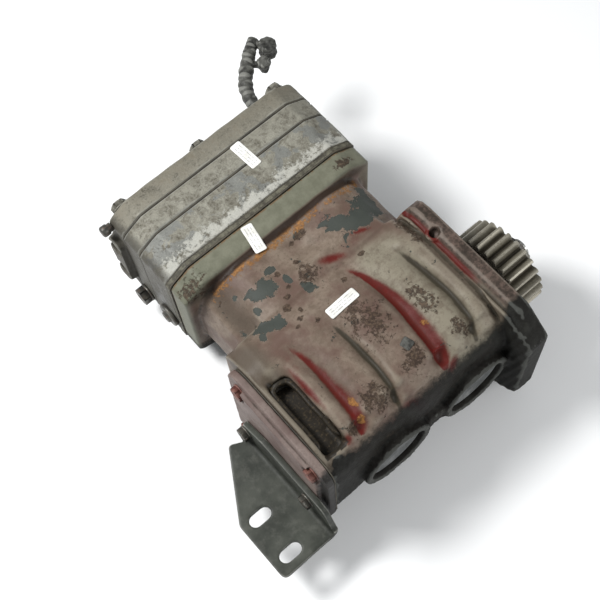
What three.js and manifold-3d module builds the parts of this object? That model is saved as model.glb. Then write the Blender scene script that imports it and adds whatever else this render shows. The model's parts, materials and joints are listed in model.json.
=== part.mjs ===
// Gear-driven reciprocating air compressor with two cylinders, lying on its side.
// Sizes are in millimetres. Every piece is drawn in the machine's own axes: +x runs along the
// crankshaft to the drive gear, +z runs up the cylinders to the head, and the origin is on the
// crank axis midway between the cylinders. The last group lays the machine on its +y side.
import * as THREE from "three";
import { mergeVertices } from "three/addons/utils/BufferGeometryUtils.js";
import Module from "manifold-3d";

const wasm = await Module();
wasm.setup();

// ---- clearances
const gap = 0.3;             // between faces that touch
const boltClearance = 0.5;   // round a bolt shank in its hole
const runningGap = 0.3;      // round a turning shaft

// ---- cylinders and crank train
const pitch = 99;
const bore = 85;
const throwRadius = 25;
const rodLength = 105;
const crownHeight = 40;      // wrist pin to piston crown
const skirtDepth = 28;       // wrist pin to skirt edge
const pistonWall = 5.7;
const crownThickness = 8;
const wristPinRadius = 9;
const pinBossInset = 14;     // cylinder axis to the inner face of a pin boss
const journalRadius = 21;
const crankpinRadius = 19;
const crankpinLength = 30;
const webThickness = 9;
const webRadius = 45;
const rodWidth = 24;
const bigEndWall = 10;
const rodBeamWidth = 17;
const earReach = 13;         // bolt ears past the big-end bore
const rodBoltRadius = 3.5;
const rodBoltHex = 5.5;
const rodEarHalfHeight = 9;
const oilPlugRadius = 4;
const oilPlugLength = 5;

// ---- block and crankcase
const deckClearance = 1;     // piston crown at the top of its stroke to the deck
const deckHeight = throwRadius + rodLength + crownHeight + deckClearance;
const deckBandHeight = 23;
const blockLength = pitch + bore + 46;
const blockWidth = 151;
const cornerCutLength = 24;
const cornerCutWidth = 14;
const neckStep = 12;         // deck band past the neck at each end
const neckLength = blockLength - 2 * neckStep;
const neckWidth = 142;
const neckCornerRadius = 48;
const caseWall = 18;         // side walls beside the crank
const floorWall = 10;
const frontWall = 14;
const crankRoom = throwRadius + crankpinRadius + runningGap + bigEndWall + 2.7;
const sideRoom = 5;          // extra room beside the rod ears
const caseWidth = 2 * (crankRoom + sideRoom + caseWall);
const caseBottom = crankRoom + floorWall;
const caseTop = 86;
const caseFloorRadius = 44;
const rearFace = pitch / 2 + 68.5;   // crankcase rear joint face, behind the origin
const restHalfWidth = caseWidth / 2 + 4;   // flange edge and cast pads, all in one plane
const grooveX = [pitch / 2 + 20.5, pitch / 2 - 25.5, -pitch / 2 + 20.5, -pitch / 2 - 19.5];
const grooveRadius = 10;     // valleys cast in the sides
const grooveDepth = 5;
const grooveBottom = -60;
const grooveTop = 58;
const pocketX = [9, 24];     // from the rear joint face
const pocketZ = [-46, 27];
const pocketDepth = 14;
const oilPortRadius = 5.5;
const oilPortZ = 43;
const plugBridgeHalfWidth = 12;
const padLength = 28;        // rest pad on the far side
const padHalfHeight = 30;
const jacketWall = 8;
const linerWall = 6;

// ---- drive flange
const flangeFace = pitch / 2 + 65;
const flangeThickness = 24;
const flangeTop = 83;
const flangeBottom = 95;
const flangeRim = 20;
const flangeRecess = 14;
const flangeHoleRadius = 6.6;
const flangeHoleDepth = 20;
const pilotRadius = 50;
const pilotHeight = 7;
const flangeChamfer = [24, 30];
const flangePostWall = 7;    // metal round a flange hole
const boltPostWall = 7;      // metal round a head bolt hole

// ---- core plugs in the crankcase floor
const plugBossRadius = 37;
const plugBossBottom = caseBottom + 7;
const plugRadius = 32;
const plugRecess = 6.5;
const plugThickness = 5;
const plugRimWall = 2.5;

// ---- head stack
const gasketThickness = 1;
const valvePlateThickness = 4;
const headHeight = 39;
const intermediateHeight = 23.5;
const coverHeight = 23;
const chamberEndWall = 30;   // head outline to the gas chambers, along x
const chamberBeyondBore = 5.5;
const chamberDivider = 10;
const coverRoof = 8;
const headBoltRadius = 5;
const headBoltReach = 19;    // into the deck band
const headBoltHex = 9.2;
const headBoltHexHeight = 8;
const lugRadius = 7;

// ---- ports
const portRadius = 10;
const portFlangeThickness = 8;
const valvePortRadius = 0.13 * bore;
const reedThickness = 0.8;
const coolantBossSpread = pitch + 41;
const coolantBossRadius = 17;
const coolantPortRadius = 9;
const coolantPortDepth = 12;
const coolantCap = { radius: 13.5, y: 36, rise: 12.8, length: 7, sides: 24 };
const portPlug = { radius: 10, y: 49, rise: 12.2, length: 11, sides: 6 };
const breather = { radius: 6, y: -57, rise: 18.1, length: 12, sides: 12 };

// ---- rear cover and bracket
const rearCoverThickness = 8;
const rearStepHeight = 5;
const rearCoverHalfWidth = 73;
const rearCoverTop = 72;
const rearCoverBottom = 68;
const rearStepInset = 10;
const bearingWall = 5;
const bearingLength = 16;
const bearingHousingWall = 8;
const rearBoltRadius = 4;
const rearBoltReach = 16;    // into the crankcase
const rearBoltHex = 7.5;
const rearBoltHexHeight = 7;
const bracketBoltRadius = 4.5;
const bracketThickness = 6;
const bracketDepth = 34;     // crank axis to the near face of the slotted leg
const bracketReach = 62;     // slotted leg beyond the bolted leg
const bracketNearReach = 40;  // bolted leg from its fold to its near edge
const bracketBottom = 88;
const bracketTop = 46;
const slotLength = 24;
const slotWidth = 12.5;
const slotPitch = 44;
const lowerSlot = 72;        // crank axis down to the lower slot
const slotReach = 41.6;      // bolted leg to the slots' centre line

// ---- drive gear and shaft nose
const gearModule = 3.5;
const gearTeeth = 25;
const gearWidth = 32;
const gearStandoff = 19.5;   // flange face to the gear
const gearBoreRadius = 17;
const keyWidth = 6;
const keyLength = 22;
const keyHalfHeight = 3;
const keySetback = 5;        // from the gear's rear face
const toothRootHalf = 0.694; // half widths of a tooth, as shares of half a tooth pitch
const toothTipHalf = 0.236;
const hubRim = 7;            // metal round the bore, and depth of the dished face
const gearRimDepth = 9;      // pitch circle in to the dished face
const threadRadius = 10;
const nutHeight = 10;
const washerThickness = 3;

// ---- formed pipe on the head
const pipeRadius = 6.5;
const pipeY = -45;
// Each [x past the block's end, z above the cover].
const pipeRun = [
  [-38, -4.4], [-38, 9.1], [-36, 23.1], [-29, 37.1], [-18, 49.1], [-5, 61.1], [4, 68.1], [12, 73.1],
];
const unionRun = [16, 55.6];
const unionBoltRun = [0, 42.1];

// ---- materials
const finish = (color, metalness, roughness) =>
  new THREE.MeshStandardMaterial({ color, metalness, roughness });
const castIron = finish(0x8d8378, 0.2, 0.7);
const aluminium = finish(0xa9a9a2, 0.6, 0.55);
const steel = finish(0xb4b0a4, 0.9, 0.35);
const darkSteel = finish(0x4a4a46, 0.7, 0.5);
const gasketPaper = finish(0x3a3833, 0.0, 0.9);
const paintedSteel = finish(0x5d6258, 0.2, 0.6);
const rubber = finish(0x1c1c1c, 0.0, 0.8);
const bronze = finish(0xa58a5a, 0.8, 0.45);

// A closed three.js geometry becomes a solid; its triangles are turned to face outward.
function solidOf(geometry) {
  const plain = geometry.index ? geometry.toNonIndexed() : geometry;
  plain.deleteAttribute("normal");
  plain.deleteAttribute("uv");
  const merged = mergeVertices(plain, 1e-4);
  const vertProperties = new Float32Array(merged.attributes.position.array);
  const corners = Array.from(merged.index.array);
  const triangles = [];
  let volume = 0;
  const a = new THREE.Vector3();
  const b = new THREE.Vector3();
  const c = new THREE.Vector3();
  for (let i = 0; i < corners.length; i += 3) {
    const [p, q, r] = corners.slice(i, i + 3);
    if (p === q || q === r || r === p) continue;
    a.fromBufferAttribute(merged.attributes.position, p);
    b.fromBufferAttribute(merged.attributes.position, q);
    c.fromBufferAttribute(merged.attributes.position, r);
    volume += a.dot(b.cross(c));
    triangles.push([p, q, r]);
  }
  const facing = volume > 0 ? triangles : triangles.map(([p, q, r]) => [p, r, q]);
  const triVerts = new Uint32Array(facing.flat());
  return new wasm.Manifold(new wasm.Mesh({ numProp: 3, vertProperties, triVerts }));
}

// Turns a solid back into a mesh with its own material and name.
function meshOf(name, solid, material) {
  const out = solid.getMesh();
  const geometry = new THREE.BufferGeometry();
  geometry.setAttribute("position", new THREE.BufferAttribute(out.vertProperties, 3));
  geometry.setIndex(new THREE.BufferAttribute(out.triVerts, 1));
  const mesh = new THREE.Mesh(geometry, material.clone());
  mesh.name = name;
  return mesh;
}

// Corners of a closed outline, each [u, v, radius], become points with rounded corners.
function rounded(corners, steps = 4) {
  const points = [];
  corners.forEach(([u, v, radius = 0], i) => {
    const here = new THREE.Vector2(u, v);
    const [pu, pv] = corners.at(i - 1);
    const [nu, nv] = corners[(i + 1) % corners.length];
    const back = new THREE.Vector2(pu, pv).sub(here).normalize();
    const on = new THREE.Vector2(nu, nv).sub(here).normalize();
    if (radius === 0) {
      points.push(here);
      return;
    }
    const half = Math.acos(back.dot(on)) / 2;
    const middle = back.clone().add(on).normalize();
    const centre = here.clone().addScaledVector(middle, radius / Math.sin(half));
    const first = here.clone().addScaledVector(back, radius / Math.tan(half)).sub(centre);
    const last = here.clone().addScaledVector(on, radius / Math.tan(half)).sub(centre);
    const turn = Math.atan2(first.cross(last), first.dot(last));
    for (let s = 0; s <= steps; s += 1) {
      points.push(first.clone().rotateAround(new THREE.Vector2(), (turn * s) / steps).add(centre));
    }
  });
  return points;
}

// Extrudes an outline along an axis. Outline axes: x -> (y, z), y -> (x, z), z -> (x, y).
function prism(axis, points, from, to) {
  const shape = new THREE.Shape(points);
  const options = { depth: to - from, bevelEnabled: false };
  const geometry = new THREE.ExtrudeGeometry(shape, options);
  geometry.translate(0, 0, from);
  const basis = {
    x: [[0, 1, 0], [0, 0, 1], [1, 0, 0]],
    y: [[1, 0, 0], [0, 0, 1], [0, 1, 0]],
    z: [[1, 0, 0], [0, 1, 0], [0, 0, 1]],
  }[axis].map((v) => new THREE.Vector3(...v));
  geometry.applyMatrix4(new THREE.Matrix4().makeBasis(...basis));
  return solidOf(geometry);
}

const box = (x0, x1, y0, y1, z0, z1) =>
  prism("z", rounded([[x0, y0], [x1, y0], [x1, y1], [x0, y1]]), z0, z1);

// A round bar along an axis; u and v place its centre in the outline axes of that direction.
function bar(axis, radius, u, v, from, to, sides = 20) {
  const points = [];
  for (let i = 0; i < sides; i += 1) {
    const turn = (2 * Math.PI * i) / sides;
    points.push(new THREE.Vector2(u + radius * Math.cos(turn), v + radius * Math.sin(turn)));
  }
  return prism(axis, points, from, to);
}

const hex = (axis, acrossCorners, u, v, from, to) => bar(axis, acrossCorners, u, v, from, to, 6);

// A body of revolution about an axis parallel to x, y or z. The profile is [radius, along].
function turned(axis, profile, u, v, sides = 24) {
  const points = profile.map(([radius, along]) => new THREE.Vector2(radius, along));
  const geometry = new THREE.LatheGeometry(points, sides);
  if (axis === "x") geometry.rotateZ(-Math.PI / 2).translate(0, u, v);
  if (axis === "y") geometry.translate(u, 0, v);
  if (axis === "z") geometry.rotateX(Math.PI / 2).translate(u, v, 0);
  return solidOf(geometry);
}

const join = (solids) => solids.reduce((a, b) => a.add(b));
const cut = (solid, tools) => tools.reduce((a, b) => a.subtract(b), solid);

// ---- shared places
const cylinderX = [-pitch / 2, pitch / 2];
const boltX = [-blockLength / 2 + 18, 0, blockLength / 2 - 18];
const boltY = [-blockWidth / 2 + 15, blockWidth / 2 - 15];
const headBoltPlaces = boltX.flatMap((x) => boltY.map((y) => [x, y]));
const flangeHoles = [[-62, 61], [62, 61], [-62, -58], [62, -58]];
const rearBolts = [[-54, 52], [54, 52], [-54, -48], [54, -48]];

const coolantBossX = [-coolantBossSpread / 2, coolantBossSpread / 2];
const bracketBolts = [[20, 40], [11, -50]];
const slotZ = [slotPitch - lowerSlot, -lowerSlot];
const bearingOuter = journalRadius + runningGap + bearingWall;
const keyX = flangeFace + gearStandoff + keySetback;
const earY = [-1, 1].map((side) => side * (crankpinRadius + runningGap + earReach - rodBoltHex));

const boreRadius = bore / 2;
const pinPlaces = [[cylinderX[0], throwRadius], [cylinderX[1], -throwRadius]];
const valvePlateZ = deckHeight + 2 * gap + gasketThickness;
const headZ = valvePlateZ + valvePlateThickness + 2 * gap + gasketThickness;
const intermediateZ = headZ + headHeight + 2 * gap + gasketThickness;
const coverZ = intermediateZ + intermediateHeight + 2 * gap + gasketThickness;
const stackTop = coverZ + coverHeight;
const onBlock = ([x, z]) => [blockLength / 2 + x, stackTop + z];
const pipePath = pipeRun.map(onBlock);
const rearCoverX = -(rearFace + gasketThickness + 2 * gap);
const rearStepX = rearCoverX - rearCoverThickness;
const bracketX = rearStepX - rearStepHeight - gap;

// Plan outline of the deck and every head layer: a long box with its four corners cut off.
function deckOutline(inset = 0, radius = 5) {
  const l = blockLength / 2 - inset;
  const w = blockWidth / 2 - inset;
  const x = l - cornerCutLength;
  const y = w - cornerCutWidth;
  return rounded([
    [-x, -w, radius], [x, -w, radius], [l, -y, radius], [l, y, radius],
    [x, w, radius], [-x, w, radius], [-l, y, radius], [-l, -y, radius],
  ], 1);
}

function boxOutline(halfU, low, high, radius, steps = 3) {
  return rounded([
    [-halfU, low, radius], [halfU, low, radius], [halfU, high, radius], [-halfU, high, radius],
  ], steps);
}

function headBoltHoles(from, to) {
  return headBoltPlaces.map(([x, y]) => bar("z", headBoltRadius + boltClearance, x, y, from, to, 8));
}

// Section of the crank chamber, seen along the shaft.
function chamberOutline() {
  return boxOutline(caseWidth / 2 - caseWall, -caseBottom + floorWall, caseTop - 30, 34);
}

function crankcase() {
  const halfNeck = neckWidth / 2;
  const halfCase = caseWidth / 2;
  const inner = flangeFace - flangeThickness;
  const chamberEnd = inner - frontWall;
  const deckBand = prism("z", deckOutline(1), deckHeight - deckBandHeight, deckHeight);
  const neckShape = boxOutline(neckLength / 2, -halfNeck, halfNeck, neckCornerRadius);
  const neck = prism("z", neckShape, 0, deckHeight - 1);
  const caseShape = rounded([
    [-halfCase, -caseBottom, caseFloorRadius], [halfCase, -caseBottom, caseFloorRadius],
    [halfCase, caseTop - 34, 24], [halfNeck - 3, caseTop, 20],
    [-halfNeck + 3, caseTop, 20], [-halfCase, caseTop - 34, 24],
  ], 4);
  const body = prism("x", caseShape, -rearFace, inner + 1);
  const flangeShape = (inset) => {
    const half = restHalfWidth - inset;
    const low = -flangeBottom + inset;
    return rounded([
      [-half, flangeTop - inset, 18], [half, flangeTop - inset, 18],
      [half, low + flangeChamfer[1], 8], [half - flangeChamfer[0], low, 10],
      [-half + flangeChamfer[0], low, 10], [-half, low + flangeChamfer[1], 8],
    ], 3);
  };
  const flange = prism("x", flangeShape(0), inner, flangeFace);
  const pilotEnd = flangeFace + pilotHeight;
  const pilot = bar("x", pilotRadius, 0, 0, flangeFace - 1, pilotEnd, 24);
  const plugTop = -plugBossBottom + plugRecess + plugThickness;
  const bosses = cylinderX.map((x) => bar("z", plugBossRadius, x, 0, -plugBossBottom, plugTop, 24));
  const bridge = box(-pitch / 2, pitch / 2, -plugBridgeHalfWidth, plugBridgeHalfWidth,
    -plugBossBottom, plugTop);
  const pad = box(-rearFace + 6, -rearFace + 6 + padLength, halfCase - 20, restHalfWidth,
    -padHalfHeight, padHalfHeight);
  const outside = join([deckBand, neck, body, flange, pilot, ...bosses, bridge, pad]);

  const recessFloor = flangeFace - flangeRecess;
  const posts = flangeHoles.map(([y, z]) =>
    bar("x", flangeHoleRadius + flangePostWall, y, z, recessFloor - 1, flangeFace + 1, 10));
  const hub = bar("x", pilotRadius, 0, 0, recessFloor - 1, flangeFace + 1, 24);
  const recess = cut(prism("x", flangeShape(flangeRim), recessFloor, flangeFace + 1), [hub, ...posts]);
  const chamberShape = chamberOutline();
  const chamber = prism("x", chamberShape, -rearFace - 1, chamberEnd);
  const bores = cylinderX.map((x) => bar("z", boreRadius, x, 0, 0, deckHeight + 1, 32));

  const jacketFloor = caseTop + 10;
  const jacketHalf = halfNeck - jacketWall;
  const jacketShape = boxOutline(neckLength / 2 - jacketWall, -jacketHalf, jacketHalf,
    neckCornerRadius - jacketWall);
  const liners = cylinderX.map((x) =>
    bar("z", boreRadius + linerWall, x, 0, jacketFloor - 1, deckHeight + 2, 32));
  const linerBridge = box(-12, 12, -22, 22, jacketFloor - 1, deckHeight + 2);
  const boltPosts = headBoltPlaces.map(([x, y]) =>
    bar("z", headBoltRadius + boltPostWall, x, y, jacketFloor - 1, deckHeight + 2, 10));
  const jacket = cut(prism("z", jacketShape, jacketFloor, deckHeight + 1),
    [...liners, linerBridge, ...boltPosts]);

  const boltHoles = headBoltHoles(deckHeight - headBoltReach - 2, deckHeight + 1);
  const plugHoles = cylinderX.map((x) => bar("z", plugRadius, x, 0, -plugBossBottom - 1, plugTop + 20, 24));
  const frontBore = bar("x", bearingOuter + gap, 0, 0, chamberEnd - 1, pilotEnd + 1, 24);
  const flangeBores = flangeHoles.map(([y, z]) =>
    bar("x", flangeHoleRadius, y, z, flangeFace - flangeHoleDepth, flangeFace + 1, 14));
  const rearHoles = rearBolts.map(([y, z]) =>
    bar("x", rearBoltRadius + boltClearance, y, z, -rearFace - 1, -rearFace + rearBoltReach + 2, 10));
  const grooveY = halfCase + grooveRadius - grooveDepth;
  const grooves = grooveX.flatMap((x) => [-grooveY, grooveY].map((y) =>
    bar("z", grooveRadius, x, y, grooveBottom, grooveTop, 10)));
  const pocket = box(-rearFace + pocketX[0], -rearFace + pocketX[1], -restHalfWidth,
    -halfCase + pocketDepth, pocketZ[0], pocketZ[1]);
  const oilPort = bar("y", oilPortRadius, inner + 10, oilPortZ, -restHalfWidth - 1, -restHalfWidth + 9, 10);
  return cut(outside, [recess, chamber, ...bores, jacket, ...boltHoles, ...plugHoles, frontBore,
    ...flangeBores, ...rearHoles, ...grooves, pocket, oilPort]);
}

// The pressed-in cups that close the crankcase floor, open side down.
function corePlug(x) {
  const floor = -plugBossBottom + plugRecess;
  const outer = plugRadius - gap;
  return turned("z", [
    [0, floor], [outer - plugRimWall, floor], [outer - plugRimWall, floor - 4], [outer, floor - 4],
    [outer, floor + plugThickness], [0, floor + plugThickness],
  ], x, 0, 24);
}

// ---- the head stack, from the deck upward
function layer(from, height, windows) {
  const body = prism("z", deckOutline(), from, from + height);
  return cut(body, [...headBoltHoles(from - 1, from + height + 1), ...windows]);
}

const chamberX = blockLength / 2 - chamberEndWall;
const chamberY = [chamberDivider / 2, boreRadius + chamberBeyondBore];

// One gas chamber either side of the divider: side -1 takes air in, side +1 lets it out.
function gasChambers(from, to) {
  return [-1, 1].map((side) => {
    const [low, high] = [side * chamberY[0], side * chamberY[1]].sort((a, b) => a - b);
    const corners = [[-chamberX, low, 8], [chamberX, low, 8], [chamberX, high, 8], [-chamberX, high, 8]];
    return prism("z", rounded(corners, 1), from, to);
  });
}

const valvePortY = (chamberY[0] + chamberY[1]) / 2;

function valvePorts(from, to) {
  return cylinderX.flatMap((x) => [-valvePortY, valvePortY].map((y) =>
    bar("z", valvePortRadius, x, y, from, to, 14)));
}

function boreWindows(from, to) {
  return cylinderX.map((x) => bar("z", boreRadius + 1, x, 0, from, to, 24));
}

// Raised rib on the gear end of each layer.
function endLug(from, height) {
  return bar("z", lugRadius, blockLength / 2, -41, from, from + height, 10);
}

function cylinderHead() {
  const plain = layer(headZ, headHeight, gasChambers(headZ - 1, headZ + headHeight + 1));
  const bossZ = headZ + headHeight / 2;
  const start = blockWidth / 2 - 6;
  const bosses = coolantBossX.map((x) => bar("y", coolantBossRadius, x, bossZ, start, restHalfWidth, 24));
  const holes = coolantBossX.map((x) =>
    bar("y", coolantPortRadius, x, bossZ, restHalfWidth - coolantPortDepth, restHalfWidth + 1, 14));
  return cut(join([plain, endLug(headZ, headHeight), ...bosses]), holes);
}

function intermediatePlate() {
  const windows = gasChambers(intermediateZ - 1, intermediateZ + intermediateHeight + 1);
  return join([layer(intermediateZ, intermediateHeight, windows), endLug(intermediateZ, intermediateHeight)]);
}

function headCover() {
  const cavities = gasChambers(coverZ - 1, stackTop - coverRoof);
  const end = -blockLength / 2;
  const flangeShape = rounded([[-43, coverZ + 1, 9], [41, coverZ + 1, 9], [41, stackTop - 1, 9],
    [-43, stackTop - 1, 9]], 3);
  const portFlange = prism("x", flangeShape, end - portFlangeThickness, end + 2);
  const ports = [-valvePortY, valvePortY - 6].map((y) =>
    bar("x", portRadius, y, coverZ + coverHeight / 2, end - portFlangeThickness - 1, -chamberX + 2, 14));
  const pipeHole = bar("z", pipeRadius + 2 * gap, pipePath[0][0], pipeY, stackTop - 6, stackTop + 1, 16);
  const plain = layer(coverZ, coverHeight, cavities);
  return cut(join([plain, endLug(coverZ, coverHeight), portFlange]), [...ports, pipeHole]);
}

function headBolt(x, y) {
  const bottom = deckHeight - headBoltReach;
  const seat = stackTop + gap;
  const shank = bar("z", headBoltRadius, x, y, bottom, seat + 1, 10);
  const washer = bar("z", headBoltHex + 1, x, y, seat, seat + 1.5, 14);
  return join([shank, washer, hex("z", headBoltHex, x, y, seat + 1, seat + headBoltHexHeight)]);
}

// A spring-steel tongue that covers one port of the valve plate.
function reed(x, side, from) {
  const far = side * valvePortY;
  const half = valvePortRadius + 2;
  return box(x - half, x + half, far - half, far + half, from, from + reedThickness);
}

// Round screwed fitting on the outside of the left end, standing off the wall along -x.
function endFitting({ radius, y, rise, length, sides }, layerZ) {
  const start = -blockLength / 2 - gap;
  const z = layerZ + rise;
  const stem = bar("x", radius * 0.7, y, z, start - length * 0.5, start, 10);
  return join([stem, bar("x", radius, y, z, start - length, start - length * 0.4, sides)]);
}

// ---- rear cover, its bearing and the bracket
function rearOutline(inset) {
  const half = rearCoverHalfWidth - inset;
  return boxOutline(half, -rearCoverBottom + inset, rearCoverTop - inset, 20 - inset / 2, 3);
}

function rearCoverGasket() {
  const start = -rearFace - gap - gasketThickness;
  const plate = prism("x", rearOutline(1), start, start + gasketThickness);
  const window = prism("x", chamberOutline(), start - 1, start + 2);
  const holes = rearBolts.map(([y, z]) =>
    bar("x", rearBoltRadius + boltClearance, y, z, start - 1, start + 2, 10));
  return cut(plate, [window, ...holes]);
}

function rearCover() {
  const plate = prism("x", rearOutline(0), rearStepX, rearCoverX);
  const step = prism("x", rearOutline(rearStepInset), rearStepX - rearStepHeight, rearStepX + 1);
  const housingEnd = rearCoverX + bearingLength + 4;
  const housing = bar("x", bearingOuter + gap + bearingHousingWall, 0, 0, rearCoverX - 1, housingEnd, 24);
  const seat = bar("x", bearingOuter + gap, 0, 0, rearCoverX, housingEnd + 1, 24);
  const holes = rearBolts.map(([y, z]) =>
    bar("x", rearBoltRadius + boltClearance, y, z, rearStepX - rearStepHeight - 1, rearCoverX + 1, 10));
  const spots = rearBolts.map(([y, z]) =>
    bar("x", rearBoltHex + 2, y, z, rearStepX - rearStepHeight - 1, rearStepX, 14));
  const taps = bracketBolts.map(([y, z]) =>
    bar("x", bracketBoltRadius + boltClearance, y, z, rearStepX - rearStepHeight - 1,
      rearStepX + rearCoverThickness - 3, 10));
  return cut(join([plate, step, housing]), [seat, ...holes, ...spots, ...taps]);
}

function rearBolt([y, z]) {
  const seat = rearStepX - gap;
  const shank = bar("x", rearBoltRadius, y, z, seat - 1, -rearFace + rearBoltReach, 10);
  const collar = bar("x", rearBoltHex + 1, y, z, seat - 1.5, seat, 14);
  return join([shank, collar, hex("x", rearBoltHex, y, z, seat - rearBoltHexHeight, seat - 1)]);
}

function bearingRing(from) {
  const inner = journalRadius + runningGap;
  return turned("x", [
    [inner, from], [bearingOuter, from], [bearingOuter, from + bearingLength],
    [inner, from + bearingLength], [inner, from],
  ], 0, 0, 24);
}

// Folded steel angle: one leg bolted flat on the rear cover, the other slotted.
function mountingBracket() {
  const outerX = bracketX - bracketThickness;
  const legEnd = outerX - bracketReach;
  const farY = bracketDepth + bracketThickness;
  const nearY = bracketDepth - bracketNearReach;
  const section = rounded([
    [bracketX, nearY], [bracketX, farY, 9], [legEnd, farY], [legEnd, bracketDepth],
    [outerX, bracketDepth, 3], [outerX, nearY],
  ], 4);
  const bent = prism("z", section, -bracketBottom, bracketTop);
  const slotted = prism("y", rounded([
    [bracketX, -bracketBottom + 1, 3], [bracketX, bracketTop - 10], [outerX - 1, bracketTop - 10],
    [outerX - 20, bracketTop, 4], [legEnd, slotZ[0] + 6, 8], [legEnd, -bracketBottom, 6],
  ], 3), bracketDepth - 6, farY + 1);
  const bolted = prism("x", rounded([
    [nearY, -bracketBottom + 16, 12], [farY, -bracketBottom], [farY, bracketTop], [nearY + 14, bracketTop, 6],
    [nearY, bracketTop - 30, 8],
  ], 3), outerX - 6, bracketX + 1);
  const slots = slotZ.map((z) => {
    const half = slotLength / 2;
    const x = outerX - slotReach;
    const r = slotWidth / 2;
    return prism("y", rounded([
      [x - half, z - r, r - 0.01], [x + half, z - r, r - 0.01],
      [x + half, z + r, r - 0.01], [x - half, z + r, r - 0.01],
    ], 6), bracketDepth - 1, farY + 1);
  });
  const holes = bracketBolts.map(([y, z]) =>
    bar("x", bracketBoltRadius + boltClearance, y, z, outerX - 1, bracketX + 1, 10));
  const blank = bent.intersect(join([slotted, bolted]));
  return cut(blank, [...slots, ...holes]);
}

function bracketBolt([y, z]) {
  const seat = bracketX - bracketThickness - gap;
  const end = rearStepX + rearCoverThickness - 5;
  const shank = bar("x", bracketBoltRadius, y, z, seat - 1, end, 10);
  const collar = bar("x", rearBoltHex + 1, y, z, seat - 1.5, seat, 14);
  return join([shank, collar, hex("x", rearBoltHex, y, z, seat - rearBoltHexHeight, seat - 1)]);
}

// ---- crankshaft
function crankWeb(pinZ, from) {
  const counter = bar("x", webRadius, 0, 0, from, from + webThickness, 24);
  const trim = box(from - 1, from + webThickness + 1, -webRadius - 1, webRadius + 1,
    pinZ > 0 ? 14 : -webRadius - 1, pinZ > 0 ? webRadius + 1 : -14);
  const lobe = bar("x", crankpinRadius + 5, 0, pinZ, from, from + webThickness, 16);
  return join([counter.subtract(trim), lobe]);
}

function crankshaft() {
  const rearEnd = rearCoverX + 2;
  const halfPin = crankpinLength / 2;
  const gearX = flangeFace + gearStandoff;
  const gearEnd = gearX + gearWidth;
  const webs = pinPlaces.flatMap(([x, z]) =>
    [crankWeb(z, x - halfPin - webThickness), crankWeb(z, x + halfPin)]);
  const pins = pinPlaces.map(([x, z]) => bar("x", crankpinRadius, 0, z, x - halfPin - 1, x + halfPin + 1));
  const outerWeb = pitch / 2 + halfPin + 1;
  const innerWeb = pitch / 2 - halfPin - 1;
  const rear = bar("x", journalRadius, 0, 0, rearEnd, -outerWeb);
  const middle = bar("x", journalRadius, 0, 0, -innerWeb, innerWeb);
  const front = bar("x", journalRadius, 0, 0, outerWeb, gearX - gap);
  const nose = bar("x", gearBoreRadius - gap, 0, 0, gearX - 1, gearEnd - 1);
  const thread = bar("x", threadRadius, 0, 0, gearEnd - 2, gearEnd + washerThickness + nutHeight + 5, 24);
  const keySeat = box(keyX - gap, keyX + keyLength + gap, -keyWidth / 2 - gap, keyWidth / 2 + gap,
    gearBoreRadius - keyHalfHeight - gap, gearBoreRadius + 1);
  const plugHoles = [-1, 1].map((side) =>
    bar("x", oilPlugRadius + gap, 0, side * throwRadius / 2, rearEnd - 1, rearEnd + oilPlugLength + 1, 10));
  const whole = join([...webs, ...pins, rear, middle, front, nose, thread]);
  return cut(whole, [keySeat, ...plugHoles]);
}

function driveGear() {
  const start = flangeFace + gearStandoff;
  const pitchRadius = (gearModule * gearTeeth) / 2;
  const hubRadius = gearBoreRadius + hubRim;
  const dishRadius = pitchRadius - gearRimDepth;
  const dishFloor = start + gearWidth - hubRim;
  const root = pitchRadius - 1.25 * gearModule;
  const tip = pitchRadius + gearModule;
  const flank = [
    [root, -toothRootHalf], [tip, -toothTipHalf], [tip, toothTipHalf], [root, toothRootHalf],
  ];
  const points = [];
  for (let tooth = 0; tooth < gearTeeth; tooth += 1) {
    for (const [radius, lead] of flank) {
      const turn = (2 * Math.PI * tooth) / gearTeeth + (lead * Math.PI) / gearTeeth;
      points.push(new THREE.Vector2(radius * Math.cos(turn), radius * Math.sin(turn)));
    }
  }
  const blank = prism("x", points, start, start + gearWidth);
  const hole = bar("x", gearBoreRadius, 0, 0, start - 1, start + gearWidth + 1, 32);
  const keyway = box(start - 1, start + gearWidth + 1, -keyWidth / 2 - gap, keyWidth / 2 + gap,
    0, gearBoreRadius + keyHalfHeight + gap);
  const dish = turned("x", [
    [hubRadius, dishFloor], [dishRadius, dishFloor], [dishRadius, start + gearWidth + 1],
    [hubRadius, start + gearWidth + 1], [hubRadius, dishFloor],
  ], 0, 0, 24);
  return cut(blank, [hole, keyway, dish]);
}

// ---- connecting rods
function rod(x, pinZ) {
  const inner = crankpinRadius + runningGap;
  const half = rodWidth / 2;
  const ring = bar("x", inner + bigEndWall, 0, pinZ, x - half, x + half);
  const ears = box(x - half, x + half, -inner - earReach, inner + earReach,
    pinZ - rodEarHalfHeight, pinZ + rodEarHalfHeight);
  const top = pinZ + rodLength - wristPinRadius - 0.5;
  const beam = box(x - half + 4, x + half - 4, -rodBeamWidth / 2, rodBeamWidth / 2, pinZ + inner + 2, top);
  const smallEnd = box(x - half, x + half, -rodBeamWidth / 2, rodBeamWidth / 2, top - 14, top);
  const lower = box(x - half - 1, x + half + 1, -80, 80, pinZ - 60, pinZ + gap / 2);
  const hole = bar("x", inner, 0, pinZ, x - half - 1, x + half + 1);
  const bolts = earY.map((y) => bar("z", rodBoltRadius + boltClearance, x, y, pinZ - 20, pinZ + 20, 12));
  return cut(join([ring, ears, beam, smallEnd]), [lower, hole, ...bolts]);
}

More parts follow.
